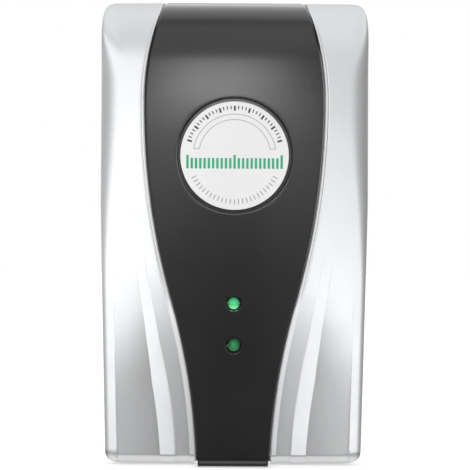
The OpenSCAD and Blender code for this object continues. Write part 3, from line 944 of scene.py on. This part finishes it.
@dataclass
class FrontShell:
    """The silver front shell with its wings, its rolled edges and the channel for the panel."""

    form: BoxForm
    wing: Wing
    floor: float = 1.85
    floor_foot: float = 1.05
    wall: float = 2.2
    ceiling_sink: float = 4.2
    ceiling_roll: float = 3.0
    bore_r: float = 2.05
    high_roll: float = 4.8
    low_roll: float = 1.3
    roll_grows: Pair = (44.0, 97.0)
    roll_ends: Pair = (99.0, 113.0)
    roll_cut: float = 0.78
    top_face: RoundedFace = RoundedFace(6.5, 16.0, 16.0, 11.0, 2.35, 5.2)
    foot_face: RoundedFace = RoundedFace(5.0, 3.4, 2.0, 2.0, 1.4, 2.6)
    step_shares: tuple[float, ...] = (-1.0, 0.0, 0.35, 0.65, 1.0, 2.0)
    lip_columns: tuple[float, ...] = (
        0.0, 0.05, 0.12, 0.2, 0.29, 0.38, 0.46, 0.52, 0.58, 0.64, 0.7, 0.77, 0.86,
    )
    rim_columns: tuple[float, ...] = (
        3.0, 2.8, 2.4, 2.1, 1.75, 1.4, 1.1, 0.84, 0.62, 0.44, 0.3, 0.18, 0.09, 0.03, 0.0,
    )
    near_shares: tuple[float, ...] = (0.06, 0.2, 0.4, 0.6, 0.8, 0.94)
    band_shares: tuple[float, ...] = (0.06, 0.25, 0.5, 0.75, 0.94)
    far_shares: tuple[float, ...] = (0.02, 0.08, 0.2, 0.35, 0.5, 0.65, 0.8, 0.92, 0.98)
    floor_columns: int = 9
    low_rows: Rows = (4.2, 56.0, 74)
    high_rows: Rows = (56.0, 103.8, 47)
    brow_count: int = 26
    bore_block: tuple[int, int] = (4, 2)
    wall_shares: tuple[float, ...] = (0.0, 0.06, 0.2, 0.45, 0.72, 1.0)
    parting_rim: tuple[Pair, ...] = ((2.0, 0.0), (0.3, 0.0), (0.08, 0.1), (0.0, 0.3))

    def side_roll(self, z: np.ndarray) -> np.ndarray:
        """Reach of the long edges' roll: full beside the label, tight below and at the top."""
        full = self.low_roll + (self.high_roll - self.low_roll) * ramp(*self.roll_grows, z)
        return full * (1.0 - self.roll_cut * ramp(*self.roll_ends, z))

    def rows(self) -> np.ndarray:
        """Heights of the grid's rows, closer together at the foot and at the brow."""
        foot = self.form.shell_foot + self.form.foot_rows()
        middle = spaced(*self.low_rows), spaced(*self.high_rows)
        return np.concatenate([foot, *middle, self.form.brow_rows(self.brow_count)])

    def columns(self, z: np.ndarray) -> np.ndarray:
        """Places across of the right wing's columns at each row, from the channel to the edge.

        Args:
            z: Heights of the rows.

        Returns:
            An array (rows, columns).
        """
        wing, step = self.wing, self.wing.step_w
        start, end = self.form.channel(z)[:, None], self.form.outer(z)[:, None]
        inner, outer = (start + edge[:, None] for edge in wing.band(z))
        steps = step * np.array(self.step_shares)
        lip, rim = start + wing.lip_w, end - wing.rim_w
        parts = (
            start + np.array(self.lip_columns),
            lip + steps,
            between(lip + step, inner - step, self.near_shares),
            inner - step + steps,
            between(inner, outer, self.band_shares),
            outer + steps,
            between(outer + step, rim - step, self.far_shares),
            rim - steps[::-1],
            end - np.array(self.rim_columns),
        )
        return np.concatenate(parts, 1)

    def wing_grid(self, z: np.ndarray) -> np.ndarray:
        """The right wing's face, bent round its corners and pressed with its relief.

        Args:
            z: Heights of the rows.

        Returns:
            Points (rows, columns, 3).
        """
        form = self.form
        x = self.columns(z)
        zz = np.repeat(z[:, None], x.shape[1], 1)
        side, roll = form.outer(zz) - x, self.side_roll(zz)
        side_top, end_top, fall_top = self.top_face.bend(side, form.height - zz, roll)
        side_foot, end_foot, fall_foot = self.foot_face.bend(side, zz - form.shell_foot, roll)
        upper = zz > (form.height + form.shell_foot) / 2.0
        new_z = np.where(upper, form.height - end_top, form.shell_foot + end_foot)
        new_x = form.outer(new_z) - np.where(upper, side_top, side_foot)
        fall = np.where(upper, fall_top, fall_foot)
        u = form.front(new_x, new_z) + self.wing.relief(new_x, new_z) - fall
        return np.stack([new_x, u, new_z], -1)

    def channel_grid(self, z: np.ndarray) -> np.ndarray:
        """The right half of the channel's floor, drawn in under the panel at both ends.

        Args:
            z: Heights of the wing's rows, which the floor's rows meet.

        Returns:
            Points (rows, columns, 3).
        """
        form = self.form
        low, high = form.shell_foot + self.floor_foot, form.height - self.floor
        brow = form.brow - self.floor
        share = np.clip(1.0 - (form.height - z) / form.brow, 0.0, 1.0)
        level = np.interp(z, [form.shell_foot, form.height], [low, high])
        level = np.where(share > 0, high - brow * (1.0 - share), np.minimum(level, high - brow))
        fall = form.brow_fall(level, self.floor)[:, None]
        x = form.channel(level)[:, None] * np.linspace(0.0, 1.0, self.floor_columns)
        zz = np.repeat(level[:, None], x.shape[1], 1)
        return np.stack([x, form.front(x, zz) - self.floor - fall, zz], -1)

    def face(self) -> np.ndarray:
        """The whole front as one grid, from the left edge to the right edge.

        Returns:
            Points (rows, columns, 3).
        """
        z = self.rows()
        right = np.concatenate([self.channel_grid(z), self.wing_grid(z)], 1)
        left = right[:, ::-1] * np.array([-1.0, 1.0, 1.0])
        return np.concatenate([left[:, :-1], right], 1)

    def wall_rings(self, face: np.ndarray) -> np.ndarray:
        """The side walls, run back from the face's edge to a small chamfer at the parting line.

        Args:
            face: The front grid.

        Returns:
            A grid whose columns run round the box.
        """
        form = self.form
        edge = perimeter(face)
        level = np.clip(edge[:, 2], form.shell_foot, form.height)
        in_channel = np.abs(edge[:, 0]) <= form.channel(level) + 1e-6
        outline = edge.copy()
        outline[in_channel & (edge[:, 2] > form.height - self.floor - 0.01), 2] = form.height
        at_foot = edge[:, 2] < form.shell_foot + self.floor_foot + 0.01
        outline[in_channel & at_foot, 2] = form.shell_foot
        stop = form.tab_stop - form.panel_gap
        run = np.array([0.0, 1.0, 0.0]) * (stop - edge)
        rings = [edge + run * share for share in self.wall_shares]
        middle, flat = np.array([0.0, 0.0, form.height / 2]), np.array([1.0, 0.0, 1.0])
        outward = np.sign(outline - middle) * flat
        ends = [(stop, 0.0)] + [(form.parting + rise, inset) for rise, inset in self.parting_rim]
        for u, inset in ends:
            ring = outline - outward * inset
            ring[:, 1] = u
            rings.append(ring)
        return np.stack(rings)

    def cavity(self, face: np.ndarray) -> np.ndarray:
        """The ceiling of the inside, one point for each of the face's, below floor and hollows.

        Args:
            face: The front grid.

        Returns:
            Points (rows, columns, 3).
        """
        form, wing = self.form, self.wing
        low, high = form.shell_foot + self.wall, form.height - self.wall
        share = (face[..., 2] - form.shell_foot) / (form.height - form.shell_foot)
        z = low + (high - low) * share
        half = form.outer(z) - self.wall
        x = face[..., 0] * half / form.outer(face[..., 2])
        side = np.clip(1.0 - (half - np.abs(x)) / self.ceiling_roll, 0.0, 1.0)
        brow = form.brow_fall(np.minimum(z, high), self.wall)
        fall = np.maximum(self.ceiling_roll * roll_off(side, 2.0), brow)
        u = form.front(x, z) - self.ceiling_sink - wing.deep(wing.near_from - z) - fall
        return np.stack([x, np.maximum(u, form.parting + 1.0), z], -1)

    def bores(
        self, skin: Skin, face: np.ndarray, cavity: np.ndarray
    ) -> tuple[list[Block], list[Block]]:
        """Adds the two lamp bores through the channel's floor.

        Args:
            skin: The shell's mesh.
            face: The front grid.
            cavity: The ceiling grid.

        Returns:
            The blocks that the bores replace, for the face and for the ceiling.
        """
        outside = [block_at(face, z, *self.bore_block) for z in self.form.lamp_z]
        inside = [block_at(cavity, z, *self.bore_block) for z in self.form.lamp_z]
        for z, outer, inner in zip(self.form.lamp_z, outside, inside):
            rims = []
            for loop in (perimeter(face, outer), perimeter(cavity, inner)):
                level = float(loop[:, 1].mean())
                well = round_well(
                    loop, (0.0, z), [(self.bore_r, 0.0)], lambda x, _, u=level: x * 0.0 + u
                )
                skin.tube(well)
                rims.append(well[-1])
            skin.tube(np.stack(rims))
        return outside, inside

    def build(self, paints: Paintbox) -> Piece:
        """Makes the shell: its outside, its walls, the rim at the parting line and its inside.

        Args:
            paints: The materials.

        Returns:
            The shell's object.
        """
        skin = Skin()
        face = self.face()
        cavity = self.cavity(face)
        outside, inside = self.bores(skin, face, cavity)
        skin.sheet(face, outside)
        skin.sheet(cavity, inside)
        walls = self.wall_rings(face)
        skin.tube(walls)
        ceiling = perimeter(cavity)
        rim = ceiling.copy()
        rim[:, 1] = self.form.parting
        skin.tube(np.stack([walls[-1], rim, ceiling]))
        return skin.make("silver_front_shell", paints.of(SILVER_PAINT))


@dataclass
class CentrePanel:
    """The black vase-shaped panel with the label's round recess and the two lamp holes."""

    form: BoxForm
    edge_w: float = 0.45
    edge_tilt: float = 0.46
    edge_power: float = 1.12
    edge_columns: tuple[float, ...] = (0.9, 0.65, 0.45, 0.33, 0.22, 0.13, 0.06, 0.02, 0.0)
    thickness: float = 1.6
    foot_roll: float = 2.0
    label_z: float = 80.2
    recess_r: float = 14.75
    recess_d: float = 0.95
    lamp_hole_r: float = 2.0
    lamp_hole_d: float = 0.8
    foot_cut: float = 0.5
    foot_cut_z: Pair = (1.6, 2.1)
    top_cut: float = 0.7
    top_cut_h: float = 1.5
    middle_rows: Rows = (3.4, 103.8, 168)
    brow_count: int = 25
    inner_columns: int = 30
    label_block: tuple[int, int] = (28, 22)
    hole_block: tuple[int, int] = (6, 6)
    recess_lip: tuple[Pair, ...] = ((0.42, 0.0), (0.3, -0.02), (0.12, -0.1), (0.0, -0.22))
    hole_lip: tuple[Pair, ...] = ((0.12, 0.0), (0.05, -0.015), (0.015, -0.05), (0.0, -0.12))

    def grid(self) -> np.ndarray:
        """The panel's face: columns at fixed shares of the half width, with a rolled edge.

        Returns:
            Points (rows, columns, 3).
        """
        form = self.form
        middle, brow = spaced(*self.middle_rows), form.brow_rows(self.brow_count)
        z = np.concatenate([form.foot_rows(), middle, brow])
        half = (form.panel(z) - self.corners(z))[:, None]
        inside = spaced(0.0, 1.0, self.inner_columns) * (half - self.edge_columns[0])
        x = np.concatenate([inside, half - np.array(self.edge_columns)], 1)
        x = np.concatenate([-x[:, :0:-1], x], 1)
        zz = np.repeat(z[:, None], x.shape[1], 1)
        share = np.clip(1.0 - (half - np.abs(x)) / self.edge_w, 0.0, 1.0)
        roll = self.edge_w * self.edge_tilt * share**self.edge_power
        return np.stack([x, self.depth(x, zz) - roll, zz], -1)

    def corners(self, z: np.ndarray) -> np.ndarray:
        """How far the edge is cut in at the panel's four corners, at each height."""
        height = self.form.height
        foot = self.foot_cut * (1.0 - ramp(*self.foot_cut_z, z))
        return foot + self.top_cut * ramp(height - self.top_cut_h, height, z)

    def depth(self, x: np.ndarray, z: np.ndarray, inset: float = 0.0) -> np.ndarray:
        """Depth of the panel's face with its brow and its rolled foot, drawn in by an inset.

        Args:
            x: Places across.
            z: Heights over the foot.
            inset: How far under the face.

        Returns:
            The depth u.
        """
        foot = np.clip(1.0 - (z - inset) / self.foot_roll, 0.0, 1.0)
        fall = self.form.brow_fall(z, inset) + self.foot_roll * roll_off(foot, 2.0)
        return self.form.front(x, z) - inset - fall

    def under_depth(self, x: np.ndarray, z: np.ndarray) -> np.ndarray:
        """Depth of the panel's underside."""
        return self.depth(x, z, self.thickness)

    def back(self, grid: np.ndarray) -> np.ndarray:
        """The panel's underside, one point for each of the face's, a thickness behind it."""
        t = self.thickness
        z = t + grid[..., 2] * (self.form.height - 2.0 * t) / self.form.height
        return np.stack([grid[..., 0], self.under_depth(grid[..., 0], z), z], -1)

    def edge_rings(self, grid: np.ndarray, under: np.ndarray) -> np.ndarray:
        """The edge from the face to the underside, run back into a tab at both ends.

        Args:
            grid: The face.
            under: The underside.

        Returns:
            A grid whose columns run round the panel.
        """
        edge, edge_under = perimeter(grid), perimeter(under)
        at_end = ((edge[:, 2] > self.form.height - 1e-6) | (edge[:, 2] < 1e-6))[:, None]
        flat, deep = np.array([1.0, 0.0, 1.0]), np.array([0.0, self.form.tab_stop, 0.0])
        outer = np.where(at_end, edge * flat + deep, (edge + edge_under) / 2)
        inner = np.where(at_end, edge_under * flat + deep, edge_under)
        return np.stack([edge, outer, inner, edge_under])

    def build(self, paints: Paintbox) -> Piece:
        """Makes the panel: face, recess, lamp holes, edges with the end tabs, and underside.

        Args:
            paints: The materials.

        Returns:
            The panel's object.
        """
        grid = self.grid()
        under = self.back(grid)
        label = block_at(grid, self.label_z, *self.label_block)
        lamps = [block_at(grid, z, *self.hole_block) for z in self.form.lamp_z]
        lamps_under = [block_at(under, z, *self.hole_block) for z in self.form.lamp_z]
        skin = Skin()
        skin.sheet(grid, [label, *lamps])
        skin.sheet(under, lamps_under)
        r, d = self.recess_r, self.recess_d
        recess = [(r + out, drop) for out, drop in self.recess_lip]
        recess += [(r, -d), (r - 0.6, -d), (r * 0.6, -d), (r * 0.2, -d), (0.0, -d)]
        skin.tube(round_well(perimeter(grid, label), (0.0, self.label_z), recess, self.depth))
        h = self.lamp_hole_r
        hole = [(h + out, drop) for out, drop in self.hole_lip] + [(h, -self.lamp_hole_d)]
        for z, block, block_under in zip(self.form.lamp_z, lamps, lamps_under):
            front = round_well(perimeter(grid, block), (0.0, z), hole, self.depth, steps=4)
            loop = perimeter(under, block_under)
            behind = round_well(loop, (0.0, z), [(h, 0.0)], self.under_depth, steps=3)
            for part in (front, behind, np.stack([front[-1], behind[-1]])):
                skin.tube(part)
        skin.tube(self.edge_rings(grid, under))
        return skin.make("black_centre_panel", paints.of(BLACK_TRIM))


@dataclass
class RoundLabel:
    """The round foil label in its recess, with plain dial marks printed on it."""

    panel: CentrePanel
    radius: float = 13.95
    sink: float = 0.15
    thickness: float = 0.7
    ink: float = 0.02
    ink_root: float = 0.05
    edge_round: tuple[Pair, ...] = ((0.4, 0.0), (0.12, 0.0), (0.03, -0.03), (0.0, -0.1))
    tick_angles: Pair = (18.0, 162.0)
    tick_count: int = 33
    tick_end: float = 12.8
    long_tick: Pair = (11.55, 0.46)
    short_tick: Pair = (11.95, 0.27)
    arch_radii: Pair = (9.25, 10.65)
    arch_foot: float = 1.7
    line_w: float = 0.16
    scale_angles: Pair = (208.0, 332.0)
    scale_count: int = 25
    scale_radii: Pair = (11.2, 12.5)
    scale_w: float = 0.24
    bar_reach: float = 12.1
    bar_count: int = 23
    bar_z: float = -3.35
    bar_h: float = 2.7
    tall_bar_h: float = 3.5
    bar_w: float = 0.62

    def face(self, x: np.ndarray, z: np.ndarray) -> np.ndarray:
        """Depth of the label's face, just below the panel's own."""
        return self.panel.depth(x, z) - self.sink

    def strip(self, skin: Skin, start: np.ndarray, end: np.ndarray, width: float) -> None:
        """Adds a printed bar between two places, given from the label's centre.

        Args:
            skin: The ink's mesh.
            start: x and z where the bar starts.
            end: x and z where the bar ends.
            width: Width of the bar.
        """
        along = (end - start) / np.linalg.norm(end - start)
        across = np.array([-along[1], along[0]]) * width / 2
        line = np.linspace(start, end, 4)
        self.closed_bar(skin, np.stack([line + across, line - across], 1))

    def arc(self, skin: Skin, radius: float, first: float, last: float) -> None:
        """Adds a printed arc about the label's centre.

        Args:
            skin: The ink's mesh.
            radius: Middle radius of the arc.
            first: Angle in degrees where it starts.
            last: Angle in degrees where it ends.
        """
        rays, half = self.rays((first, last), 90), self.line_w / 2
        self.closed_bar(skin, np.stack([rays * (radius + half), rays * (radius - half)], 1))

    def closed_bar(self, skin: Skin, lanes: np.ndarray) -> None:
        """Adds a flat bar as a thin closed strip: a section's four corners carried along it.

        Args:
            skin: The ink's mesh.
            lanes: (length, 2, 2) places of its two edges from the label's centre.
        """
        x, z = lanes[..., 0], lanes[..., 1] + self.panel.label_z
        low = np.stack([x, self.face(x, z) - self.ink_root, z], -1)
        high = low + np.array([0.0, self.ink_root + self.ink, 0.0])
        section = np.stack([high[:, 0], high[:, 1], low[:, 1], low[:, 0]], 1)
        first, last = (np.repeat(section[n].mean(0)[None, None], 4, 1) for n in (0, -1))
        skin.tube(np.concatenate([first, section, last]))

    @staticmethod
    def rays(angles: Pair, count: int) -> np.ndarray:
        """Unit vectors (cos a, sin a) at so many even angles between two, in degrees."""
        angle = np.radians(np.linspace(*angles, count))
        return np.stack([np.cos(angle), np.sin(angle)], -1)

    def ticks(self) -> Skin:
        """The dark dial ticks over the arch, every fourth one long.

        Returns:
            The ink's mesh.
        """
        skin = Skin()
        for n, ray in enumerate(self.rays(self.tick_angles, self.tick_count)):
            inner, width = self.short_tick if n % 4 else self.long_tick
            self.strip(skin, ray * inner, ray * self.tick_end, width)
        return skin

    def lines(self) -> Skin:
        """The grey outline of the arch and the fine scale along the label's lower edge.

        Returns:
            The ink's mesh.
        """
        skin = Skin()
        foot = self.arch_foot
        for radius in self.arch_radii:
            edge = math.degrees(math.asin(foot / radius))
            self.arc(skin, radius, edge, 180.0 - edge)
        near, far = (math.sqrt(radius**2 - foot**2) for radius in self.arch_radii)
        for side in Side:
            ends = np.array([(side.value * near, foot), (side.value * far, foot)])
            self.strip(skin, *ends, self.line_w)
        for ray in self.rays(self.scale_angles, self.scale_count):
            self.strip(skin, *(ray * radius for radius in self.scale_radii), self.scale_w)
        return skin

    def bars(self) -> Skin:
        """The green row of gauge bars, taller at its ends and in the middle.

        Returns:
            The ink's mesh.
        """
        skin = Skin()
        for n, x in enumerate(np.linspace(-self.bar_reach, self.bar_reach, self.bar_count)):
            tall = self.bar_h if n % 11 else self.tall_bar_h
            start = np.array([x, self.bar_z])
            self.strip(skin, start, start + np.array([0.0, tall]), self.bar_w)
        return skin

    def build(self, paints: Paintbox) -> list[Piece]:
        """Makes the label and its marks.

        Args:
            paints: The materials.

        Returns:
            The label's object and one object for each ink.
        """
        r, t = self.radius, self.thickness
        profile = [(r * share, 0.0) for share in (0.0, 0.25, 0.5, 0.75)]
        profile += [(r - inset, drop) for inset, drop in self.edge_round]
        profile += [(r, -t), (r - 0.5, -t), (r * 0.5, -t), (0.0, -t)]
        label = Skin()
        label.tube(turned((0.0, self.panel.label_z), profile, 160, self.face))
        return [
            label.make("round_label", paints.of(LABEL_FOIL)),
            self.ticks().make("label_ticks", paints.of(INK_DARK)),
            self.lines().make("label_lines", paints.of(INK_GREY)),
            self.bars().make("label_bars", paints.of(INK_GREEN)),
        ]


@dataclass
class Lamps:
    """The two round-nosed green lamps behind the panel's holes."""

    panel: CentrePanel
    radius: float = 1.5
    length: float = 5.3
    nose: float = 1.125
    collar_h: float = 1.0
    collar_cut: float = 0.1
    sink: Pair = (0.45, 1.05)
    lean: tuple[Pair, Pair] = ((-0.02, 0.04), (0.19, 0.45))

    def profile(self) -> list[Pair]:
        """A collar with cut edges, then the side and an oval nose, turned about the lamp's axis.

        Returns:
            Pairs of radius and u over the lamp's base.
        """
        r, cut, collar = self.radius, self.collar_cut, self.collar_h
        rings = [(0.0, 0.0), (r - cut, 0.0), (r, cut), (r, collar - cut)]
        rings += [(r - cut, collar), (r, collar + cut / 2)]
        turn = np.linspace(0.0, np.pi / 2, 12)
        rings += [(r * math.cos(a), self.length - self.nose * (1.0 - math.sin(a))) for a in turn]
        return rings

    def build(self, paints: Paintbox) -> list[Piece]:
        """Makes both lamps.

        Args:
            paints: The materials.

        Returns:
            The upper lamp and the lower lamp.
        """
        made = []
        looks = (("upper_lamp", LAMP_GREEN), ("lower_lamp", LAMP_GREEN_DIM))
        places = zip(looks, self.panel.form.lamp_z, self.sink, self.lean)
        for (name, finish), z, sink, lean in places:
            body = turned((0.0, z), self.profile(), 64)
            body[..., [0, 2]] += np.array(lean) * body[..., 1:2] / self.length
            top = float(self.panel.depth(np.array(0.0), np.array(z))) - sink
            body[..., 1] += top - self.length
            skin = Skin()
            skin.tube(body)
            made.append(skin.make(name, paints.of(finish)))
        return made


# ---- Studio ---------------------------------------------------------------------------------

# Brightness by direction, as pairs of a component from -1 to 1 and a level.
WORLD_STRENGTH = 1.15
ACROSS_LIGHT = (
    (-1.0, 0.36), (-0.85, 0.41), (-0.66, 0.66), (-0.5, 0.88), (-0.35, 1.0), (0.35, 0.99),
    (0.5, 0.88), (0.66, 0.64), (0.85, 0.46), (1.0, 0.34),
)
CEILING_LIGHT = (
    (-0.1, 1.0), (0.0, 0.98), (0.06, 0.93), (0.12, 0.87), (0.2, 0.76), (0.28, 0.66), (0.38, 0.60),
    (0.5, 0.60), (0.8, 0.67), (1.0, 0.70),
)
LOW_LIGHT = (
    (-1.0, 0.72), (-0.85, 0.62), (-0.6, 0.42), (-0.4, 0.28), (-0.28, 0.31), (-0.25, 0.55),
    (-0.23, 1.0), (-0.21, 1.40), (-0.18, 1.44), (-0.15, 1.32), (-0.1, 1.20), (-0.04, 1.09),
    (0.03, 1.0),
)
CEILING_LEAN = 0.7  # how much of the across component is added to the height
LOW_LEAN = 0.07
CAMERA_WIDTH = ((0.0, 1.0), (0.06, 0.92), (0.12, 0.50), (0.17, 0.10), (0.22, 0.0))
CAMERA_HEIGHT = ((-0.6, 0.2), (-0.3, 0.95), (-0.06, 1.0), (0.0, 0.6), (0.06, 0.0))
WHITE = (1.0, 1.0, 1.0)


@dataclass(frozen=True)
class Softbox:
    """An area light turned toward the box: place and size in metres, power in watts."""

    name: str
    place: tuple[float, float, float]
    size: Pair
    power: float
    shadow: bool = True
    aim: tuple[float, float, float] = (0.0, -0.03, 0.0)

    def build(self, lit: bpy.types.Collection) -> None:
        """Makes the light and keeps it off all but the pieces that it is for.

        Args:
            lit: The pieces that it lights.
        """
        data = bpy.data.lights.new(self.name, "AREA")
        data.shape = "RECTANGLE"
        data.size, data.size_y = self.size
        data.energy = self.power
        data.use_shadow = self.shadow
        made = link(bpy.data.objects.new(self.name, data))
        made.location = self.place
        made.light_linking.receiver_collection = lit
        toward = Vector(self.aim) - Vector(self.place)
        made.rotation_euler = toward.to_track_quat("-Z", "Y").to_euler()


PANEL_LIGHTS = (
    Softbox("panel_light", (-0.04, -1.0, 0.225), (0.34, 0.13), 4.5),
    Softbox("panel_fill_left", (-0.24, -1.0, 0.08), (0.16, 0.20), 0.75),
    Softbox("panel_fill_right", (0.20, -1.0, 0.08), (0.16, 0.20), 0.75),
    Softbox("panel_high", (0.0, -0.65, 0.70), (0.8, 0.75), 4.8),
    Softbox("panel_top", (0.0, 0.30, 0.70), (1.2, 1.1), 14.0),
    Softbox("panel_low", (0.0, -0.45, -0.75), (0.9, 0.5), 6.0, shadow=False),
    Softbox("panel_left", (-0.75, -0.65, -0.1), (0.35, 0.7), 3.0),
    Softbox("panel_right", (0.75, -0.65, 0.1), (0.35, 0.7), 16.0),
)


@dataclass(frozen=True)
class Studio:
    """Camera, surroundings, the panel's lights and the pale floor."""

    picture_mm: float = 122.3
    distance: float = 1.2
    sensor: float = 36.0
    aim_x: float = 0.34
    aim_z: float = 59.8
    outline_u: float = 20.0
    azimuth: float = 0.5
    roll: float = -0.3
    floor_span: float = 6.0
    floor_drop: float = 0.3
    floor_tone: Colour = (0.9, 0.9, 0.9)
    floor_glow: float = 0.6

    def camera(self) -> None:
        """A long lens almost straight in front of the box, at the height of its middle."""
        data = bpy.data.cameras.new("camera")
        data.sensor_width = self.sensor
        data.lens = self.sensor * self.distance / (self.picture_mm * MM)
        data.clip_start, data.clip_end = 0.05, 20.0
        made = link(bpy.data.objects.new("camera", data))
        aim = to_row(np.array([self.aim_x, self.outline_u, self.aim_z]))
        turn = math.radians(self.azimuth)
        made.location = Vector(aim) - self.distance * Vector((math.sin(turn), math.cos(turn), 0.0))
        made.rotation_euler = (math.radians(90.0), math.radians(self.roll), -turn)
        bpy.context.scene.camera = made

    def world(self) -> None:
        """White to the eye; in reflections a product of gradients, dark where the camera is."""
        world = bpy.data.worlds.new("studio")
        bpy.context.scene.world = world
        world.use_nodes = True
        world.node_tree.nodes.clear()
        nodes = Nodes(world.node_tree)
        where = nodes.add("SeparateXYZ")
        nodes.join(nodes.add("TexCoord").outputs["Generated"], where.inputs[0])
        across, height = where.outputs["X"], where.outputs["Z"]
        light = self.shaded(nodes, across, ACROSS_LIGHT)
        for lean, stops in ((CEILING_LEAN, CEILING_LIGHT), (LOW_LEAN, LOW_LIGHT)):
            leant = nodes.math("ADD", height, nodes.math("MULTIPLY", across, lean))
            light = nodes.math("MULTIPLY", light, self.shaded(nodes, leant, stops))
        near = self.shaded(nodes, nodes.math("ABSOLUTE", across), CAMERA_WIDTH)
        dark = nodes.math("MULTIPLY", near, self.shaded(nodes, height, CAMERA_HEIGHT))
        light = nodes.math("MULTIPLY", light, nodes.math("SUBTRACT", 1.0, dark))
        soft, plain = nodes.add("Background"), nodes.add("Background")
        nodes.join(nodes.math("MULTIPLY", light, WORLD_STRENGTH), soft.inputs["Strength"])
        for background in (soft, plain):
            nodes.join(WHITE, background.inputs["Color"])
        seen = nodes.add("MixShader")
        to_eye = nodes.add("LightPath").outputs["Is Camera Ray"]
        for source, target in zip((to_eye, soft.outputs[0], plain.outputs[0]), seen.inputs):
            nodes.join(source, target)
        nodes.join(seen.outputs[0], nodes.add("OutputWorld").inputs["Surface"])

    @staticmethod
    def shaded(nodes: Nodes, value: Socket, stops: Sequence[Pair]) -> Socket:
        """Grades a direction's component, from -1 to 1, into a brightness.

        Args:
            nodes: The world's nodes.
            value: The component.
            stops: Pairs of a position from -1 to 1 and a brightness.

        Returns:
            The brightness.
        """
        made = nodes.add("ValToRGB")
        nodes.join(nodes.grade(value, (-1.0, 1.0)), made.inputs["Fac"])
        band = made.color_ramp
        band.interpolation = "LINEAR"
        while len(band.elements) > 1:
            band.elements.remove(band.elements[-1])
        for n, (place, level) in enumerate(stops):
            share = (place + 1.0) / 2.0
            element = band.elements.new(share) if n else band.elements[0]
            element.position = share
            element.color = (level, level, level, 1.0)
        return made.outputs["Color"]

    def floor(self) -> Piece:
        """A wide pale floor under the box's foot, left out of reflections and unseen from below.

        Returns:
            The floor's object.
        """
        mesh = bpy.data.meshes.new("floor")
        span, level = self.floor_span, -(PLUG_AXIS_Z + self.floor_drop) * MM
        turns = ((-1, -1), (1, -1), (1, 1), (-1, 1))
        mesh.from_pydata([(span * x, span * y, level) for x, y in turns], [], [(0, 1, 2, 3)])
        material = bpy.data.materials.new("pale_floor")
        material.use_nodes = True
        nodes = Nodes(material.node_tree)
        surface = material.node_tree.nodes["Principled BSDF"]
        nodes.join(self.floor_tone, surface.inputs["Base Color"])
        nodes.join(self.floor_tone[0], surface.inputs["Roughness"])
        nodes.join(WHITE, surface.inputs["Emission Color"])
        nodes.join(self.floor_glow, surface.inputs["Emission Strength"])
        below = nodes.add("MixShader")
        behind = nodes.add("NewGeometry").outputs["Backfacing"]
        clear = nodes.add("BsdfTransparent").outputs[0]
        for source, target in zip((behind, surface.outputs[0], clear), below.inputs):
            nodes.join(source, target)
        out = material.node_tree.nodes["Material Output"]
        nodes.join(below.outputs[0], out.inputs["Surface"])
        mesh.materials.append(material)
        made = link(bpy.data.objects.new("floor", mesh))
        made.visible_glossy = False
        return made

    def build(self, panel: Piece) -> Piece:
        """Sets up the whole studio.

        Args:
            panel: The black panel, which has lights of its own.

        Returns:
            The floor's object.
        """
        bpy.context.scene.view_settings.view_transform = "Standard"
        self.camera()
        self.world()
        lit = bpy.data.collections.new("panel_lit")
        lit.objects.link(panel)
        for light in PANEL_LIGHTS:
            light.build(lit)
        return self.floor()


# ---- The whole box --------------------------------------------------------------------------


def report(name: str, made: Piece) -> None:
    """Logs one piece and its number of faces."""
    log.info("%s: %s with %d faces", name, made.name, len(made.data.polygons))


def adopt(made: Piece, node: str | None, slot: str) -> None:
    """Lets a piece ride on the box and stand for a node.

    Args:
        made: The piece.
        node: The node that it replaces, or None.
        slot: Name of the material slot, logged for the piece when it stands for no node.
    """
    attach(made, "root")
    if node is not None:
        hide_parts(node)
    report(node or slot, made)


def dress_cad(paints: Paintbox) -> None:
    """Gives every carried-over node its finish."""
    for name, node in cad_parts.items():
        node.data.materials.clear()
        node.data.materials.append(paints.of(CAD_FINISHES[name]))
        report(name, node)


def main() -> None:
    """Builds the box's pieces in order and then the studio."""
    logging.basicConfig(level=logging.INFO, format="%(message)s")
    paints = Paintbox()
    dress_cad(paints)
    form = BoxForm()
    adopt(FrontShell(form, Wing(form)).build(paints), "front_shell", "silver_paint")
    panel = CentrePanel(form)
    panel_piece = panel.build(paints)
    adopt(panel_piece, "centre_panel", "black_trim")
    label, *marks = RoundLabel(panel).build(paints)
    adopt(label, "label_disc", "label_foil")
    for mark in marks:
        adopt(mark, None, "label_foil")
    upper, lower = Lamps(panel).build(paints)
    adopt(upper, "upper_led", "lamp_green")
    adopt(lower, "lower_led", "lamp_green_dim")
    Studio().build(panel_piece)
    bpy.context.view_layer.update()


if __name__ == "__main__":
    main()
